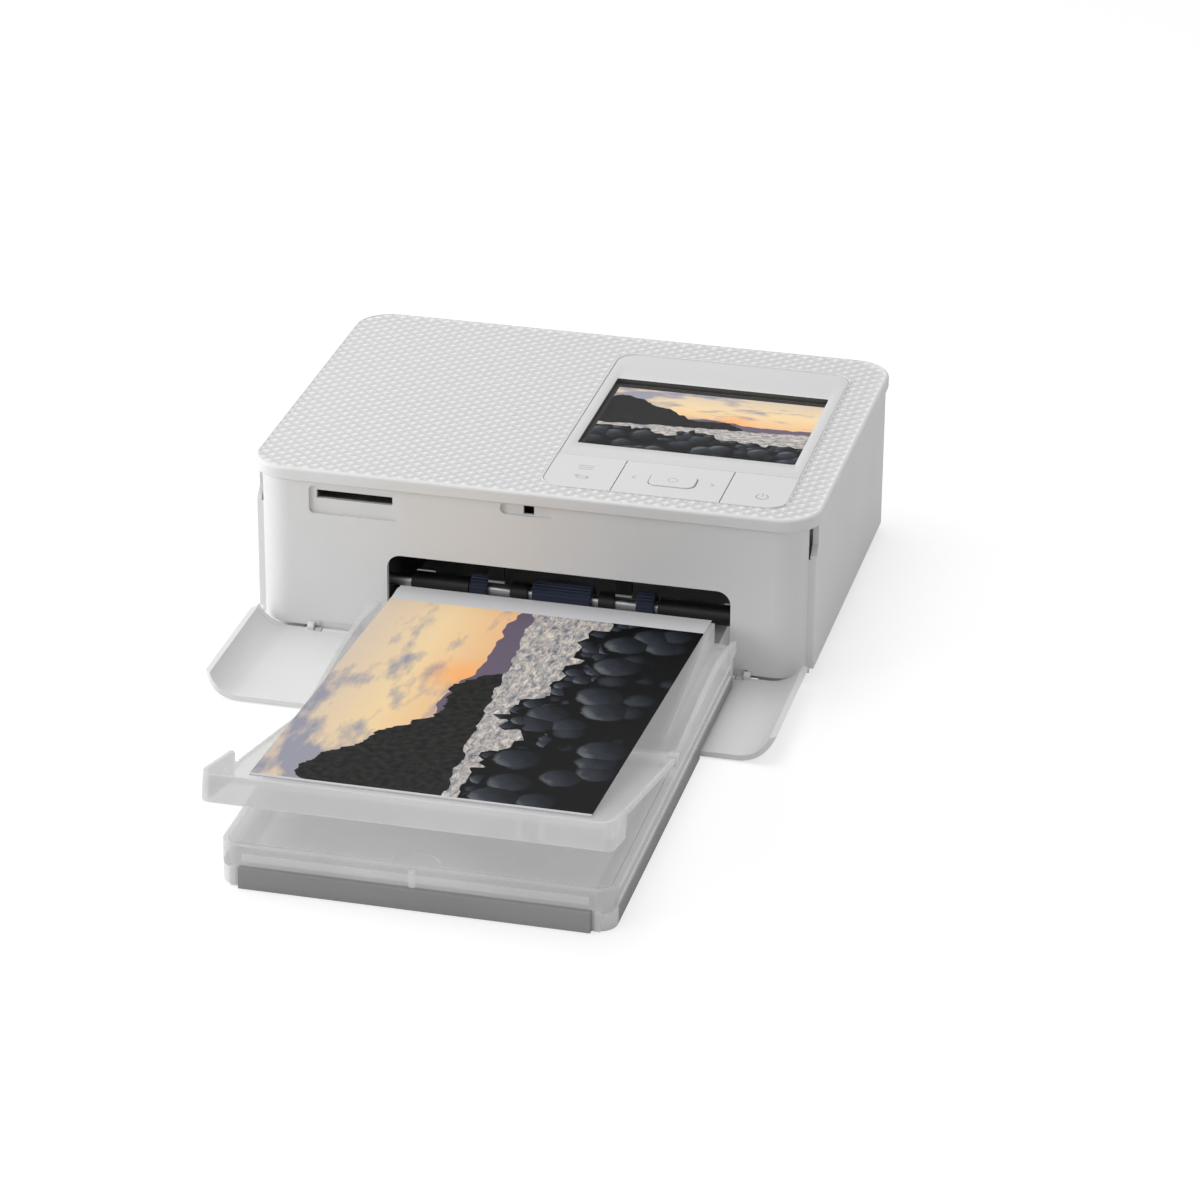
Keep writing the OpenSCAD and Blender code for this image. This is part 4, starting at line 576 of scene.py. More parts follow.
def outline(x0, x1, y0, y1, radii, inset=0.0):
    """Points of a rounded rectangle, from the front left corner anticlockwise; radii of the 4 corners."""
    x0, x1, y0, y1 = x0 + inset, x1 - inset, y0 + inset, y1 - inset
    corners = [(x0, y0, 1, 1, 180), (x1, y0, -1, 1, 270), (x1, y1, -1, -1, 0), (x0, y1, 1, -1, 90)]
    points = []
    for (cx, cy, sx, sy, start), radius in zip(corners, radii):
        r = max(radius - inset, 0.05)
        for step in range(CORNER_STEPS + 1):
            a = math.radians(start + 90 * step / CORNER_STEPS)
            points.append((cx + sx * r + r * math.cos(a), cy + sy * r + r * math.sin(a)))
    return points


def at_height(points, z):
    """Points in plan, all lifted to one height."""
    return [(x, y, z) for x, y in points]


def finish_mesh(name, mesh_data, finishes, body, sharp_angle=35):
    """Turns a bmesh in millimetres into a piece that rides on a body."""
    bmesh.ops.recalc_face_normals(mesh_data, faces=mesh_data.faces)
    mesh = bpy.data.meshes.new(name)
    for vertex in mesh_data.verts:
        vertex.co = place(*vertex.co)
    mesh_data.to_mesh(mesh)
    mesh_data.free()
    mesh.shade_smooth()
    mesh.set_sharp_from_angle(angle=math.radians(sharp_angle))
    for finish in finishes:
        mesh.materials.append(materials[finish])
    piece = bpy.data.objects.new(name, mesh)
    bpy.context.scene.collection.objects.link(piece)
    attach(piece, body)
    return piece


def loft(mesh_data, rings, closed=False, caps=True, finish=0):
    """Joins rings of points with faces; closed joins the last to the first, caps fills both ends."""
    loops = [[mesh_data.verts.new(p) for p in ring] for ring in rings]
    pairs = list(zip(loops, loops[1:] + loops[:1])) if closed else list(zip(loops, loops[1:]))
    for lower, upper in pairs:
        count = len(lower)
        for i in range(count):
            face = mesh_data.faces.new((lower[i], lower[(i + 1) % count], upper[(i + 1) % count], upper[i]))
            face.material_index = finish
    if caps and not closed:
        mesh_data.faces.new(loops[0]).material_index = finish
        mesh_data.faces.new(loops[-1]).material_index = finish
    return loops


def fillet(outline_at, z_edge, z_face, radius, steps=4):
    """Rings of a rounded edge between a wall that ends at z_edge and a face at z_face."""
    up_or_down = 1 if z_face > z_edge else -1
    rings = []
    for step in range(steps + 1):
        a = math.pi / 2 * step / steps
        rings.append(at_height(outline_at(radius * (1 - math.cos(a))),
                               z_edge + up_or_down * radius * math.sin(a)))
    return rings


print("corner steps", CORNER_STEPS)

# %% [markdown]
# The lid is a shallow tray turned over. Its top edge has a small round, its lower edge a tiny one, and the
# opening for the control panel has a round shoulder, which draws the thin bright line round the panel.

# %% Lid
LID_ROUND = 1.1
LIP_ROUND = 0.4
SHOULDER = 0.35
LID_CORNER = 12.5
LIP_HEIGHT = 4.4
SKIN = 2.2
POST_RADIUS = 2.9
panel_low, panel_high = box_mm("control_panel")
menu_low, menu_high = box_mm("menu_key")
power_high = box_mm("power_key")[1]
FLANGE = 2.5
GAP = 0.12
PANEL_CORNER = 6.5
panel_x0, panel_x1 = panel_low.x + FLANGE, panel_high.x - FLANGE
panel_y0, panel_y1 = panel_low.y + FLANGE, panel_high.y - FLANGE
lip_z = lid_top - LIP_HEIGHT
skin_z = lid_top - SKIN
PATTERN_RIM = LID_ROUND + 0.02
PATTERN_INNER = GAP + SHOULDER + 0.05
bed = lid_top - DIAMOND_DEPTH - 0.35


def lid_outline(inset):
    return outline(-lid_half_w, lid_half_w, -lid_half_d, lid_half_d, [LID_CORNER] * 4, inset)


def lid_opening(grow):
    return outline(panel_x0, panel_x1, panel_y0, panel_y1, [PANEL_CORNER] * 4, -grow)


lid_mesh = bmesh.new()
rings = [at_height(lid_outline(SKIN), lip_z)]
rings += [at_height(lid_outline(LIP_ROUND), lip_z), at_height(lid_outline(0), lip_z + LIP_ROUND)]
rings += fillet(lid_outline, lid_top - LID_ROUND, lid_top, LID_ROUND, 6)
# a shallow bed for the engraved sheet
rings += [at_height(lid_outline(PATTERN_RIM), lid_top), at_height(lid_outline(PATTERN_RIM + 0.05), bed),
          at_height(lid_opening(PATTERN_INNER + 0.05), bed), at_height(lid_opening(PATTERN_INNER), lid_top)]
rings += [at_height(lid_opening(GAP + SHOULDER), lid_top), at_height(lid_opening(GAP + 0.1), lid_top - 0.1),
          at_height(lid_opening(GAP), lid_top - SHOULDER), at_height(lid_opening(GAP), skin_z)]
rings += [at_height(lid_outline(SKIN), skin_z)]
loft(lid_mesh, rings, closed=True)
# screw posts under the four corners
post_x, post_y, post_z = lid_half_w - 6.2, lid_half_d - 16.5, 12.1
for sx in (-1, 1):
    for sy in (-1, 1):
        circle = [(sx * post_x + POST_RADIUS * math.cos(math.tau * k / 24),
                   sy * post_y + POST_RADIUS * math.sin(math.tau * k / 24)) for k in range(24)]
        loft(lid_mesh, [at_height(circle, post_z), at_height(circle, skin_z + 0.2)])
lid = finish_mesh("lid", lid_mesh, ["case"], "case", 40)
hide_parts("top_cover")
print("lid faces", len(lid.data.polygons))

# %% [markdown]
# The pattern is a sheet of low pyramids, 5.1 mm from side to side and 4.4 mm from front to back, laid in
# rows that are half a pyramid apart. A bump map could draw it, but real facets catch the light from every
# side. A facet that crosses the edge of the sheet is cut there, one straight edge of the outline at a time,
# which works because both outlines bulge outwards everywhere.

# %% Engraved diamonds
DIAMOND_ACROSS = 5.13
DIAMOND_ALONG = 4.4
DIAMOND_REACH = 3.0
FADE = 0.9
FLUSH = 0.02


def side_of(a, b, p):
    """Distance of p to the left of the line from a to b."""
    along_x, along_y = b[0] - a[0], b[1] - a[1]
    return (along_x * (p[1] - a[1]) - along_y * (p[0] - a[0])) / math.hypot(along_x, along_y)


def cut(facet, a, b, left=True):
    """The part of a facet to the left, or to the right, of the line from a to b."""
    kept = []
    sign = 1 if left else -1
    for p, q in zip(facet, facet[1:] + facet[:1]):
        here, there = sign * side_of(a, b, p), sign * side_of(a, b, q)
        if here >= 0:
            kept.append(p)
        if here * there < 0:
            kept.append(p.lerp(q, here / (here - there)))
    return kept


def cut_all(facets, a, b, left=True):
    """All facets cut along one line, without those that are gone."""
    return [kept for kept in (cut(facet, a, b, left) for facet in facets) if len(kept) > 2]


def edges_of(points):
    """The straight edges of an outline."""
    return [(a, b) for a, b in zip(points, points[1:] + points[:1]) if math.dist(a, b) > 0.001]


rim_edges = edges_of(lid_outline(PATTERN_RIM))
window_edges = edges_of(lid_opening(PATTERN_INNER))
groove_z = lid_top - DIAMOND_DEPTH
pattern = bmesh.new()
columns = int(lid_half_w / DIAMOND_ACROSS * 2) + 2
rows = int(lid_half_d / DIAMOND_ALONG * 2) + 2
for column in range(-columns, columns + 1):
    for row in range(-rows, rows + 1):
        if (column + row) % 2 == 0:
            continue
        cx, cy = column * DIAMOND_ACROSS / 2, row * DIAMOND_ALONG / 2
        room = min(side_of(a, b, (cx, cy)) for a, b in rim_edges)
        hidden = min(side_of(a, b, (cx, cy)) for a, b in window_edges)
        if room < -DIAMOND_REACH or hidden > DIAMOND_REACH:
            continue
        peak = Vector((cx, cy, lid_top - FLUSH))
        around = [Vector((cx + dx * DIAMOND_ACROSS / 2, cy + dy * DIAMOND_ALONG / 2, groove_z))
                  for dx, dy in ((1, 0), (0, 1), (-1, 0), (0, -1))]
        facets = [[peak, around[k], around[(k + 1) % 4]] for k in range(4)]
        if room < DIAMOND_REACH:
            for a, b in rim_edges:
                facets = cut_all(facets, a, b)
        if hidden > -DIAMOND_REACH:
            outside = []
            for a, b in window_edges:
                outside += cut_all(facets, a, b, left=False)
                facets = cut_all(facets, a, b)
            facets = outside
        for facet in facets:
            pattern.faces.new([pattern.verts.new(p) for p in facet])
bmesh.ops.remove_doubles(pattern, verts=pattern.verts, dist=0.01)
bmesh.ops.dissolve_limit(pattern, angle_limit=math.radians(0.3), verts=pattern.verts, edges=pattern.edges)
# the pattern gets shallower in the last millimetre, so that its edge is nearly level with the smooth rim
for vertex in pattern.verts:
    rim_room = min(side_of(a, b, vertex.co) for a, b in rim_edges)
    depth = 0.5 + 0.5 * min(1.0, max(0.0, rim_room / FADE))
    vertex.co.z = lid_top - FLUSH - (lid_top - FLUSH - vertex.co.z) * depth
# a flat underside and walls all round make the sheet a closed solid
under = bmesh.ops.extrude_face_region(pattern, geom=pattern.faces[:])["geom"]
for vertex in [part for part in under if isinstance(part, bmesh.types.BMVert)]:
    vertex.co.z = bed + 0.05
open_edges = sum(len(edge.link_faces) != 2 for edge in pattern.edges)
diamonds = finish_mesh("lid_diamonds", pattern, ["lid"], "case", 1)
print("diamond facets", len(diamonds.data.polygons), "open edges", open_edges)

# %% [markdown]
# The control panel is a smooth plate in that opening, with a window for the display. A plate with a hole
# could be cut out of a block, but lofted rings give its round shoulders at once. Round the window the wall
# is a grey gasket, so seen from the front the back and the left of the window are dark. The keys keep their
# solids.

# %% Control panel
panel_top = screen_high.z + 1.2
PANEL_ROUND = 0.3
KEY_ROW_BACK = menu_high.y + 0.25
plate_z = skin_z - 0.1
under_z = plate_z - 1.5
WINDOW_ROUND = 0.35
WINDOW_EDGE = 0.05
WINDOW_ROOM = 1.5


def plate_outline(inset):
    return outline(panel_x0, panel_x1, KEY_ROW_BACK, panel_y1, [0.3, 0.3, PANEL_CORNER, PANEL_CORNER], inset)


def window_outline(grow):
    return outline(screen_low.x - 0.15, screen_high.x + 0.15, screen_low.y - 0.15, screen_high.y + 0.15,
                   [0.6] * 4, -grow)


panel_mesh = bmesh.new()
brink = at_height(window_outline(WINDOW_EDGE), panel_top - 0.2)
gasket_foot = at_height(window_outline(0.0), plate_z + 0.1)
plate_foot = at_height(plate_outline(0), under_z)
plate_rings = [plate_foot] + fillet(plate_outline, panel_top - PANEL_ROUND, panel_top, PANEL_ROUND, 3)
plate_rings += [at_height(window_outline(WINDOW_ROUND), panel_top), brink]
loft(panel_mesh, plate_rings, caps=False)
loft(panel_mesh, [brink, gasket_foot], caps=False, finish=1)
loft(panel_mesh, [gasket_foot, at_height(window_outline(1.4), under_z), plate_foot], caps=False)
# shelf under the keys, with the flange that holds the panel behind the lid
shelf_z = plate_z - 0.9
loft(panel_mesh, [at_height(lid_opening(FLANGE), under_z), at_height(lid_opening(FLANGE), shelf_z),
                  at_height(window_outline(WINDOW_ROOM), shelf_z),
                  at_height(window_outline(WINDOW_ROOM), under_z)], closed=True)
bmesh.ops.remove_doubles(panel_mesh, verts=panel_mesh.verts, dist=0.001)
panel = finish_mesh("control_plate", panel_mesh, ["panel", "bezel"], "case", 40)
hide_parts("control_panel")
for key in ("menu_key", "nav_rocker", "ok_key", "power_key"):
    soften(key, 0.22)
dress("keys", "menu_key", "nav_rocker", "ok_key", "power_key")
dress("glass", "lcd_window")
dress("display", "lcd_module")
print("panel top at", round(panel_top, 2), "mm")

# %% [markdown]
# The keys are printed with grey ink: bars and a return arrow on the menu key, chevrons on the rocker and a
# power sign. Printed ink stands about 0.02 mm proud, so each line is a thin strip of its own, which stays
# sharp at any distance. The ring on the OK key is part of that key's material instead: a band at one
# distance from its middle.

# %% Marks on the keys
MARK_HEIGHT = 0.02
MARK_SUNK = 0.05
STROKE = 0.28
RING_RADIUS = 1.5


def ribbon(mesh_data, points, z, width=STROKE, loop=False):
    """A flat raised line along points."""
    count = len(points)
    for i in range(count if loop else count - 1):
        a, b = Vector(points[i]), Vector(points[(i + 1) % count])
        side = (b - a).orthogonal().normalized() * width / 2
        reach = (b - a).normalized() * width * 0.3
        corners = [a - reach - side, b + reach - side, b + reach + side, a - reach + side]
        loft(mesh_data, [at_height(corners, level) for level in (z - MARK_SUNK, z + MARK_HEIGHT)])


def marks(name, body, lines, z):
    """A piece of raised lines on a key; lines holds points and whether they close to a loop."""
    mesh_data = bmesh.new()
    for points, loop in lines:
        ribbon(mesh_data, points, z, loop=loop)
    piece = finish_mesh(name, mesh_data, ["ink"], body)
    return piece


def arc(cx, cy, r, start, end, steps):
    """Points of an arc between two angles in degrees."""
    return [(cx + r * math.cos(math.radians(start + (end - start) * k / steps)),
             cy + r * math.sin(math.radians(start + (end - start) * k / steps))) for k in range(steps + 1)]


ok_low, ok_high = box_mm("ok_key")
ok_mid = (ok_low + ok_high) / 2
menu_x = (menu_low.x + menu_high.x) / 2
bars_y = panel_y0 + 15.5
arrow_y = panel_y0 + 8
bars = [([(menu_x - 2.4, bars_y + k), (menu_x + 2.4, bars_y + k)], False) for k in (-1.3, 0, 1.3)]
turn = arc(menu_x + 1.6, arrow_y, 0.8, 90, -90, 8)
shank = [(menu_x - 1.8, arrow_y + 0.8), (menu_x + 1.6, arrow_y + 0.8)] + turn
shank.append((menu_x - 1.2, arrow_y - 0.8))
head = [(menu_x - 0.9, arrow_y + 1.7), (menu_x - 1.9, arrow_y + 0.8), (menu_x - 0.9, arrow_y - 0.1)]
marks("menu_marks", "menu_key", bars + [(shank, False), (head, False)], panel_top)
chevrons = []
for sign in (-1, 1):
    cx = ok_mid.x + sign * 12.6
    heel, tip = cx - sign * 0.6, cx + sign * 0.5
    chevrons.append(([(heel, ok_mid.y + 1.0), (tip, ok_mid.y), (heel, ok_mid.y - 1.0)], False))
marks("rocker_marks", "nav_rocker", chevrons, panel_top)


def ringed_key(tree):
    """The smooth key with a ring printed in its middle."""
    settings = smooth_key(tree)
    where = add(tree, "TexCoord", out="Object")
    flat = add(tree, "VectorMath", {0: where, 1: (1, 1, 0)}, operation="MULTIPLY")
    middle = place(ok_mid.x, ok_mid.y, 0)
    away = add(tree, "VectorMath", {0: flat, 1: middle}, out="Value", operation="DISTANCE")
    ring = add(tree, "Math", {0: away, 1: RING_RADIUS * MM, 2: STROKE / 2 * MM}, operation="COMPARE")
    two_tones = {0: ring, 6: settings["Base Color"], 7: linear("#A6A6A6")}
    settings["Base Color"] = add(tree, "Mix", two_tones, **COLOURS)
    return settings


materials["ringed_key"] = surface("abs_ringed_key", ringed_key)
dress("ringed_key", "ok_key")
power_x, power_y = power_high.x - 8.4, panel_y0 + 7.5
power_sign = [(arc(power_x, power_y, 1.9, 122, 418, 18), False),
              ([(power_x, power_y + 0.2), (power_x, power_y + 2.5)], False)]
marks("power_mark", "power_key", power_sign, panel_top)
print("lines on the keys:", len(bars) + 2 + len(chevrons) + len(power_sign))

# %% [markdown]
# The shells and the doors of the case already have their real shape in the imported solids, so they only get
# rounded edges and a finish. Moulded edges of such a case are about 0.4 mm round, and the door's a little
# more. Feet and pins are too small for their edges to show, so they keep them sharp.

# %% Case and doors
for node, width in (("front_fascia", 0.45), ("left_side_cover", 0.4), ("rear_cover", 0.4), ("ink_door", 0.4),
                    ("front_door", 0.55)):
    soften(node, width)
dress("case", "front_fascia", "left_side_cover", "rear_cover", "ink_door", "front_door")
soften("base_chassis", 0.3)
dress("chassis", "base_chassis")
dress("rubber_dark", "rubber_feet")
dress("shaft", "case_screws", "front_door_pins", "ink_door_pins", "feed_shaft", "capstan_roller",
      "motor_shaft", "head_pivot_pin")
print("case shells dressed")

# %% [markdown]
# Behind its hinge line the open door reaches back round the case's lower corners, close to the curved
# fascia. Its upturned side is part of a cylinder that lies along the side, so the root is lofted from
# cross-sections: flat ones first, then one for each step up the curve, each as long as the fascia behind it
# leaves room for. A small rounded stop stands beside each hinge arm.

# %% Door root
DOOR_HALF, DOOR_RADIUS, DOOR_THICK, DOOR_UNDER = 90.9, 12.3, 1.8, 0.4
ROOT_START, ROOT_SIDE, ROOT_REAR = 69.6, 66.0, -64.35
ROOT_CLEAR = 0.5
STOP_X = (69.7, 71.8)
STOP_PROFILE = [(-66.9, 0.5), (-64.8, 0.5), (-64.8, 4.2), (-65.2, 4.45), (-66.2, 4.3), (-66.9, 3.5)]
fascia_low, fascia_high = box_mm("front_fascia")
side_low = box_mm("left_side_cover")[0]
case_half = -side_low.x
CORNER_STEP = 1.2
FASCIA_RADIUS = 11.3
corner_x = case_half - CORNER_STEP - FASCIA_RADIUS
corner_y = fascia_low.y + FASCIA_RADIUS
root_front = fascia_low.y - 2.5
bend_x = DOOR_HALF - DOOR_RADIUS
flat = [(ROOT_START + (bend_x - ROOT_START) * k / 3, 0.0) for k in range(4)]
curve = [(bend_x, ROOT_SIDE * k / 10) for k in range(1, 11)]
root_mesh = bmesh.new()
for sign in (-1, 1):
    rings = []
    for x, degrees in flat + curve:
        a = math.radians(degrees)
        ring = []
        for r, under in ((DOOR_RADIUS, DOOR_UNDER), (DOOR_RADIUS - DOOR_THICK, DOOR_UNDER + DOOR_THICK)):
            px, pz = x + r * math.sin(a), under + r * (1 - math.cos(a))
            reach = (FASCIA_RADIUS + ROOT_CLEAR) ** 2 - max(px - corner_x, 0) ** 2
            rear = min(corner_y - math.sqrt(max(reach, 0)), ROOT_REAR)
            ring += [(sign * px, root_front, pz), (sign * px, rear, pz)]
        rings.append([ring[0], ring[1], ring[3], ring[2]])
    loft(root_mesh, rings)
    loft(root_mesh, [[(sign * x, y, z) for y, z in STOP_PROFILE] for x in STOP_X])
root = finish_mesh("door_root", root_mesh, ["case"], "front_door", 40)
soften(root, 0.3)
print("door root faces", len(root.data.polygons))

# %% [markdown]
# A strip behind each side seam, a skirt behind the lower corners and a wall behind the notches of the hinge
# arms close the view into the case. On the real one the shells overlap there with a tongue. Without them a
# light-coloured joint would look black, or show the table through.

# %% Seam strips and skirts
SEAM_Y = (fascia_high.y + side_low.y) / 2
SEAM_HALF = (side_low.y - fascia_high.y) * 0.4
FINGER_ROOM = 11.0
SKIRT_WALL = (2.2, 3.0)
NOTCH_X, NOTCH_Y, NOTCH_Z = (55.4, 69.9), (-64.1, -63.2), (0.3, 4.9)
closers = bmesh.new()
for sign in (-1, 1):
    outer, inner = sign * (case_half - CORNER_STEP - 0.05), sign * (case_half - CORNER_STEP - 1.8)
    strip = [(outer, SEAM_Y - SEAM_HALF), (outer, SEAM_Y + SEAM_HALF), (inner, SEAM_Y + SEAM_HALF),
             (inner, SEAM_Y - SEAM_HALF)]
    loft(closers, [at_height(strip, fascia_low.z + 0.2), at_height(strip, fascia_high.z - FINGER_ROOM)])
    skirt = []
    for thick in SKIRT_WALL:
        r = FASCIA_RADIUS - thick
        turns = [math.radians(a) for a in range(0, 91, 9)]
        line = [(sign * (corner_x - 4), fascia_low.y + thick)]
        line += [(sign * (corner_x + r * math.sin(a)), corner_y - r * math.cos(a)) for a in turns]
        skirt.append(line)
    plan = skirt[0] + skirt[1][::-1]
    loft(closers, [at_height(plan, 0.15), at_height(plan, fascia_low.z + 1.2)])
    near, far = (sign * x for x in NOTCH_X)
    front, rear = NOTCH_Y
    behind = [(near, front), (far, front), (far, rear), (near, rear)]
    loft(closers, [at_height(behind, z) for z in NOTCH_Z])
closing = finish_mesh("seam_strips", closers, ["case"], "case")
print("seam", round(SEAM_Y, 2), "width", round(SEAM_HALF * 2.5, 2), "fascia bottom", round(fascia_low.z, 2))

# %% [markdown]
# Inside, sheet metal has edges of about 0.1 mm and mouldings of about 0.25 mm. The frames and guides near
# the mouth are black coated, so that no light shows round the paper, and the rest is bare tinned steel. The
# drum and rollers keep their edges, because they are turned or ground.

# %% Inner parts
SHEET_EDGE, MOULDED_EDGE = 0.12, 0.25
for node in ("left_frame", "right_frame", "motor_bracket", "head_bracket", "paper_guide", "card_socket",
             "usb_port"):
    soften(node, SHEET_EDGE, 1)
dress("coated", "left_frame", "right_frame", "paper_guide", "head_bracket")
dress("steel", "motor_bracket", "card_socket", "usb_port", "lift_plate")
dress("motor", "drive_motor")
dress("aluminium", "head_heat_sink")
dress("ceramic", "print_head")
dress("gear", "feed_gear", "capstan_gear", "reduction_gear", "motor_pinion")
dress("board", "switch_board", "main_board", "power_board")
dress("tabs", "exit_tabs")
dress("black", "dc_jack", "fan_frame", "fan_rotor", "supply_spool", "take_up_spool", "eject_lever")
dress("rubber_dark", "pinch_roller", "platen_roller")
dress("ink_case", "ink_cassette_case")
dress("ribbon", "ink_ribbon")
dress("paper", "paper_stack")
for node in ("dc_jack", "fan_frame", "ink_cassette_case", "drive_motor", "eject_lever"):
    soften(node, MOULDED_EDGE)
print("inner parts dressed")

# %% [markdown]
# The paper cassette is a grey tub with a frosted upper part, an inner lid and a light grey bar in front.
# All keep their solids. The sheet on the tray is the print, and its paper is too thin for a rounded edge.

# %% Cassette and tray
for node, width in (("cassette_shell", 0.4), ("inner_lid", 0.35), ("cassette_base", 0.4),
                    ("cassette_front_bar", 0.3)):
    soften(node, width)
dress("frosted", "cassette_shell", "inner_lid")
dress("tub", "cassette_base")
dress("grey", "cassette_front_bar")
dress("print", "print_sheet")
print("cassette dressed")

# %% [markdown]
# The tray is one moulding: a sheet that starts narrow at the hinge, a slope up to the ridge, and a thin
# wall that runs round the front and back along both ears. The wall has round corners and its top falls a
# little from the ears to the front. A wall of even thickness is easiest as one cross-section that is led
# along a line. The tray is drawn flat, as s along it and h above the hinge, and then tilted.

# %% Output tray
PAPER_X = 9.5
TRAY_HALF = 58.0
TRAY_TILT = math.radians(13.2)
HINGE_Y, HINGE_Z = -147.0, 14.4
TRAY_LENGTH = 92.0
SHEET_TOP, SHEET_UNDER = 0.8, -0.8
RIDGE_TOP = 3.6
SKIRT = -4.6
WALL = 1.6
EAR_LEFT, EAR_RIGHT = 28.0, 15.0
EAR_FRONT_TOP, EAR_REAR_TOP = 4.7, 4.1
TURN_RADIUS = 3.2
HINGE_INSET = 3.1
RIB_PLACES = (-42.3, 32.4, 39.0)


def tilted(x, s, h):
    """A place on the tray: x from its middle line, s from its hinge, h above the hinge's height."""
    c, w = math.cos(TRAY_TILT), math.sin(TRAY_TILT)
    return (PAPER_X + x, HINGE_Y - s * c + h * w, HINGE_Z + s * w + h * c)


def slab(mesh_data, x0, x1, profile):
    """A profile of s and h, drawn out from x0 to x1."""
    loft(mesh_data, [[tilted(x, s, h) for s, h in profile] for x in (x0, x1)])


def wall_path():
    """Outer line of the wall from the left ear's rear end: place, direction inwards and top."""
    outer = TRAY_HALF + 2
    corners = []
    for side, ear in ((-1, EAR_LEFT), (1, EAR_RIGHT)):
        rear = [((side * outer, TRAY_LENGTH - ear + d), (-side, 0), EAR_REAR_TOP - drop)
                for d, drop in ((0, 1.6), (0.35, 0.6), (1.2, 0))]
        turn = []
        for step in range(7):
            a = math.pi / 2 * step / 6
            normal = (-side * math.cos(a), -math.sin(a))
            point = (side * (outer - TURN_RADIUS + TURN_RADIUS * math.cos(a)),
                     TRAY_LENGTH - TURN_RADIUS + TURN_RADIUS * math.sin(a))
            turn.append((point, normal, EAR_FRONT_TOP + (RIDGE_TOP + 0.2 - EAR_FRONT_TOP) * step / 6))
        corners.append(rear + turn)
    left, right = corners
    middle = [((x, TRAY_LENGTH), (0, -1), RIDGE_TOP) for x in (-50, 50)]
    return left + middle + right[::-1]


tray_mesh = bmesh.new()
rings = []
for (x, s), (nx, ns), top in wall_path():
    section = [(0.5, SKIRT), (0, SKIRT + 0.5), (0, top - 0.35), (0.12, top - 0.1), (0.4, top),
               (WALL - 0.4, top), (WALL, top - 0.4), (WALL, SKIRT)]
    rings.append([tilted(x + nx * d, s + ns * d, h) for d, h in section])
loft(tray_mesh, rings)
flat_end = TRAY_LENGTH - 10.5
ridge = (TRAY_LENGTH - 0.7, RIDGE_TOP - 0.1)
slab(tray_mesh, -TRAY_HALF + 0.5, TRAY_HALF - 0.5,
     [(3.2, SHEET_UNDER), (3.2, SHEET_TOP), (flat_end, SHEET_TOP), (TRAY_LENGTH - 2, RIDGE_TOP - 0.1), ridge,
      (ridge[0], RIDGE_TOP - 1.9), (TRAY_LENGTH - 2.4, RIDGE_TOP - 1.9), (flat_end, SHEET_UNDER)])


def sheet(s0, s1):
    """Profile of the plain sheet between two places along the tray."""
    return [(s0, SHEET_UNDER), (s0, SHEET_TOP), (s1, SHEET_TOP), (s1, SHEET_UNDER)]


slab(tray_mesh, -TRAY_HALF + HINGE_INSET, TRAY_HALF - HINGE_INSET, sheet(0, 4))
for side, ear in ((-1, EAR_LEFT), (1, EAR_RIGHT)):
    under_ear = sheet(TRAY_LENGTH - ear, TRAY_LENGTH - 1)
    slab(tray_mesh, side * (TRAY_HALF - 1), side * (TRAY_HALF + 1.2), under_ear)
    # raised rim along the sheet's side
    slab(tray_mesh, side * (TRAY_HALF - 1.3), side * (TRAY_HALF - 0.6),
         [(5, 0.7), (5.4, 1.5), (TRAY_LENGTH - ear, 1.5), (TRAY_LENGTH - ear, 0.7)])
# ribs behind the wall
for x in RIB_PLACES:
    slab(tray_mesh, x - 0.5, x + 0.5, [(TRAY_LENGTH - 1.2, SKIRT + 0.6), (TRAY_LENGTH - 1.2, 1.5),
                                       (TRAY_LENGTH - 3.4, 1.2), (TRAY_LENGTH - 3.4, SKIRT + 0.6)])
# hinge barrel, and the thinner pins at its ends
for half, r in ((TRAY_HALF - HINGE_INSET, 1.8), (TRAY_HALF - 0.2, 1.0)):
    slab(tray_mesh, -half, half, arc(0, 0, r, 0, 345, 23))
tray = finish_mesh("tray_moulding", tray_mesh, ["frosted"], "output_tray", 30)
soften(tray, 0.2)
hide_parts("output_tray")
print("tray faces", len(tray.data.polygons))

# %% [markdown]
# The frosted part of the cassette has fine trim that is too thin for the plain solids: a raised strip above
# the bar, a tab in its middle, a lug beside each end of the bar, and two beads along each side. Each is a
# block with small cut corners, because moulded trim of this size has no visible round.

# %% Cassette trim
shell_low, shell_high = box_mm("cassette_shell")
bar_low, bar_high = box_mm("cassette_front_bar")
wall_front = bar_high.y
STRIP_TOP, TAB_TOP, LUG_TOP = 10.6, 12.2, 6.4
LUG_WIDTH = 1.7
BEAD_HEIGHTS = (7.2, 10.9)
BEAD_FRONT, BEAD_REAR = -221, -76
trim_mesh = bmesh.new()


def block(mesh_data, low, high):
    """A block with small cut corners in plan."""
    plan = outline(low[0], high[0], low[1], high[1], [0.15] * 4)
    loft(mesh_data, [at_height(plan, z) for z in (low[2], high[2])])


root_y = wall_front + 0.3
block(trim_mesh, (bar_low.x + 1, wall_front - 0.45, bar_high.z + 1.5), (bar_high.x - 1, root_y, STRIP_TOP))
block(trim_mesh, (PAPER_X - 1.4, wall_front - 0.9, bar_high.z + 0.1), (PAPER_X + 0.4, root_y, TAB_TOP))
for x in (bar_low.x - 2.6, bar_high.x + 0.9):
    block(trim_mesh, (x, wall_front - 1.0, 0.4), (x + LUG_WIDTH, wall_front + 0.6, LUG_TOP))
for x in (shell_low.x, shell_high.x):
    for z in BEAD_HEIGHTS:
        block(trim_mesh, (x - 0.2, BEAD_FRONT, z), (x + 0.2, BEAD_REAR, z + 0.45))
trim = finish_mesh("cassette_trim", trim_mesh, ["frosted"], "paper_cassette", 30)
print("cassette trim faces", len(trim.data.polygons))

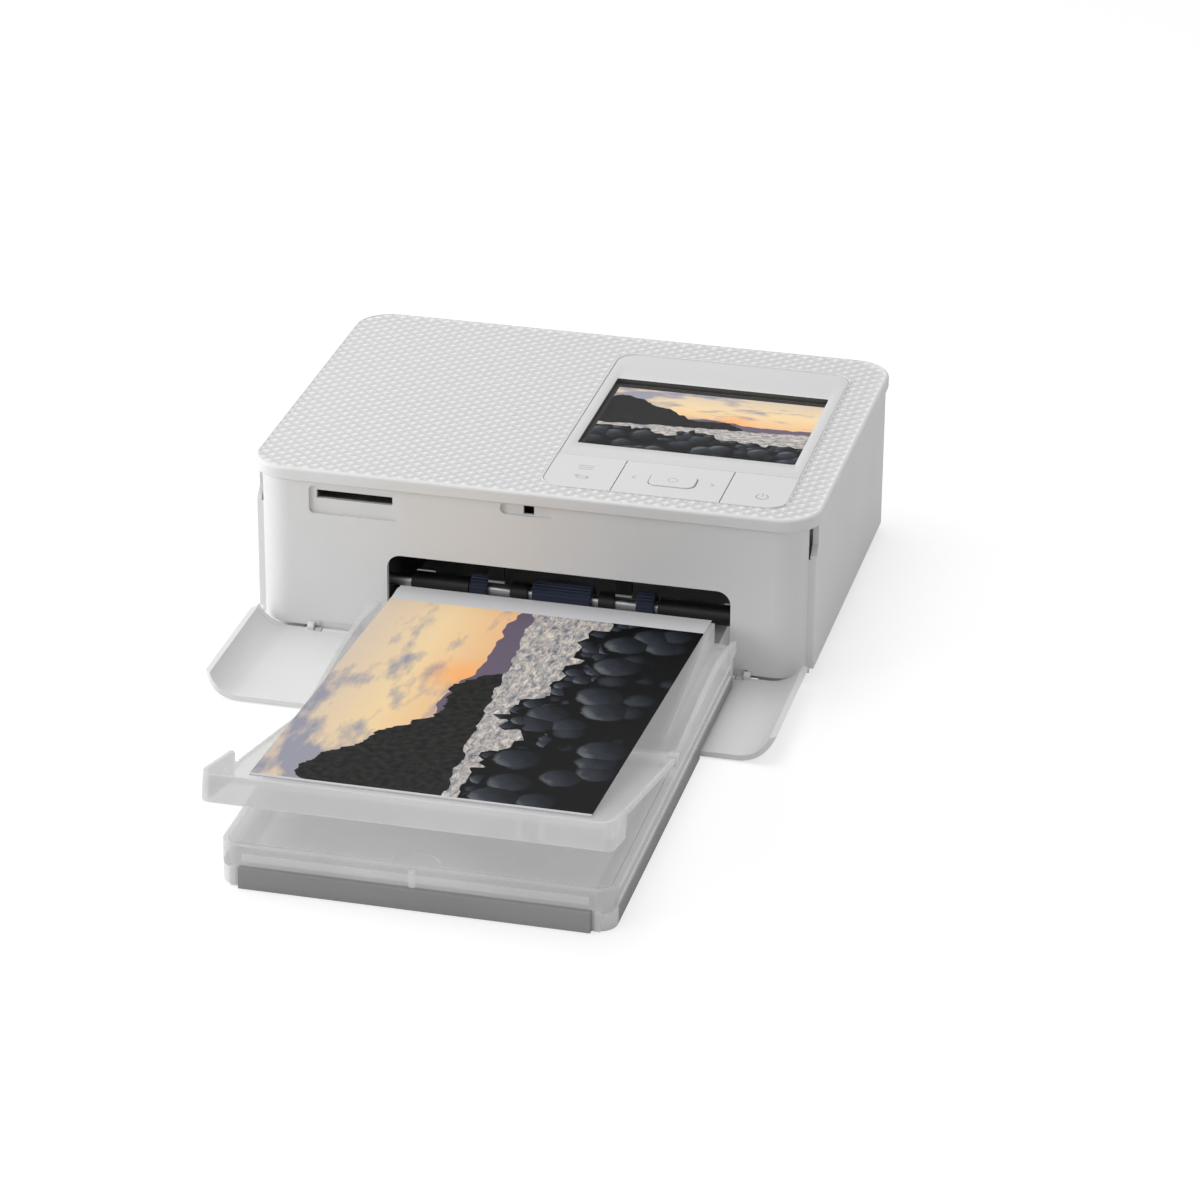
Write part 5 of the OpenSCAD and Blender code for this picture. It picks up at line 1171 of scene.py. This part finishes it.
# %% [markdown]
# The feed rollers are navy rubber with ribs that grip the print, and black sleeves keep them apart on their
# shaft. Ribs could be cut with booleans, but a ring whose radius steps in and out is cleaner: each roller
# is a few such rings along X, joined round its bore. Sleeves are the same form without ribs.

# %% Feed rollers
RIB_COUNT = 24
RIB_DEPTH = 0.35
shaft_low, shaft_high = box_mm("feed_shaft")
feed_low, feed_high = box_mm("feed_rollers")
feed_y = (feed_low.y + feed_high.y) / 2
feed_z = (feed_low.z + feed_high.z) / 2
feed_r = (feed_high.z - feed_low.z) / 2
SHAFT_RADIUS = 2.0
CHAMFER, SLEEVE_CHAMFER = 0.3, 0.2
feed_mid = (feed_low.x + feed_high.x) / 2
narrow_w, wide_w = 5.6, 19.0
span = (feed_high.x - feed_low.x - narrow_w) / 2


def ribbed_ring(x, r, depth):
    """A ring round the feed shaft whose radius steps in at each rib."""
    points = []
    for k in range(RIB_COUNT * 4):
        a = math.tau * k / (RIB_COUNT * 4)
        rr = r - (depth if k % 4 in (2, 3) else 0)
        points.append((x, feed_y + rr * math.cos(a), feed_z + rr * math.sin(a)))
    return points


def turned(mesh_data, x0, x1, r, chamfer, depth=0.0, end_depth=0.0):
    """A roller or sleeve round the shaft, with chamfered ends."""
    steps = [(x0, SHAFT_RADIUS, 0), (x0, r - chamfer, end_depth), (x0 + chamfer, r, depth),
             (x1 - chamfer, r, depth), (x1, r - chamfer, end_depth), (x1, SHAFT_RADIUS, 0)]
    loft(mesh_data, [ribbed_ring(*step) for step in steps], closed=True)


roller_mesh = bmesh.new()
for mid, width in ((feed_mid, wide_w), (feed_mid - span, narrow_w), (feed_mid + span, narrow_w)):
    turned(roller_mesh, mid - width / 2, mid + width / 2, feed_r, CHAMFER, RIB_DEPTH, 0.2)
rollers = finish_mesh("ribbed_feed_rollers", roller_mesh, ["rubber_blue"], "feed_roller", 25)
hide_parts("feed_rollers")
print("roller radius", round(feed_r, 2), "mm, ribs", RIB_COUNT)

# %% Spacer sleeves on the feed shaft
SLEEVE_RADIUS = 3.3
sleeves_mm = [(shaft_low.x + 14.5, feed_mid - 30.3), (feed_mid - 16.9, feed_mid - 11.1),
              (feed_mid + 11.8, feed_mid + 17.0), (feed_mid + 31.0, shaft_high.x - 2)]
sleeve_mesh = bmesh.new()
for x0, x1 in sleeves_mm:
    turned(sleeve_mesh, x0, x1, SLEEVE_RADIUS, SLEEVE_CHAMFER)
sleeves = finish_mesh("feed_shaft_sleeves", sleeve_mesh, ["black"], "feed_roller")
print("sleeves", len(sleeves_mm))

# %% [markdown]
# The floor is a white table. A camera would see it grey in soft light, so to the camera it glows a little,
# and still takes the printer's shadow. Everything else sees a plain white floor, which throws light back
# up.

# %% Floor
FLOOR_HALF = 4.0
floor_mesh = bpy.data.meshes.new("studio_floor")
corners = [(x * FLOOR_HALF, y * FLOOR_HALF, 0) for x, y in ((-1, -1), (1, -1), (1, 1), (-1, 1))]
floor_mesh.from_pydata(corners, [], [(0, 1, 2, 3)])
floor = bpy.data.objects.new("studio_floor", floor_mesh)
bpy.context.scene.collection.objects.link(floor)
floor_material, tree, output = new_material("studio_floor_white")
seen = add(tree, "LightPath", out="Is Camera Ray")
lit_floor = add(tree, "BsdfDiffuse", {"Color": linear("#B0B0B0")})
glow_floor = add(tree, "Emission", {"Color": (1, 1, 1, 1), "Strength": 0.66})
both = add(tree, "AddShader", {0: lit_floor, 1: glow_floor})
plain = add(tree, "BsdfDiffuse", {"Color": linear("#F2F2F2")})
tree.links.new(add(tree, "MixShader", {0: seen, 1: plain, 2: both}), output.inputs["Surface"])
floor_mesh.materials.append(floor_material)
print("floor", 2 * FLOOR_HALF, "m wide")

# %% [markdown]
# Round the table is a white studio. The camera and the reflections see it fully white, and so does what is
# seen through clear plastic, but it gives only half as much light, so that the softboxes shape the printer.
# The largest softbox hangs above and behind, as a window would, and two small ones lift the left side.

# %% Surround and lamps
SURROUND = 0.47
world = bpy.data.worlds.new("studio_surround")
bpy.context.scene.world = world
world.use_nodes = True
tree = world.node_tree
tree.nodes.clear()
rays = tree.nodes.new("ShaderNodeLightPath")
camera_ray, glossy_ray, through_ray = (rays.outputs[f"Is {kind} Ray"] for kind in
                                       ("Camera", "Glossy", "Transmission"))
mirror = add(tree, "Math", {0: camera_ray, 1: glossy_ray}, operation="MAXIMUM")
white = add(tree, "Math", {0: mirror, 1: through_ray}, operation="MAXIMUM")
strength = add(tree, "MapRange", {0: white, 3: SURROUND, 4: 1.0})
background = add(tree, "Background", {"Color": (1, 1, 1, 1), "Strength": strength})
world_output = tree.nodes.new("ShaderNodeOutputWorld")
tree.links.new(background, world_output.inputs["Surface"])


def softbox(name, where, aim, size, power):
    """A square lamp that shines from one place at another; places in metres."""
    data = bpy.data.lights.new(name, "AREA")
    data.shape = "SQUARE"
    data.size = size
    data.energy = power
    lamp = bpy.data.objects.new(name, data)
    turned_to = (Vector(where) - Vector(aim)).to_track_quat("Z", "Y")
    lamp.matrix_world = Matrix.Translation(where) @ turned_to.to_matrix().to_4x4()
    bpy.context.scene.collection.objects.link(lamp)
    return lamp


softbox("top_softbox", (-0.27, 0.22, 1.28), (0, 0, 0), 0.9, 6.9)
softbox("left_softbox", (-0.9, -0.7, 0.5), (-0.05, -0.05, 0.02), 0.5, 3.1)
softbox("left_side_softbox", (-0.62, -0.06, 0.2), (-0.09, 0.02, 0.03), 0.35, 1.3)
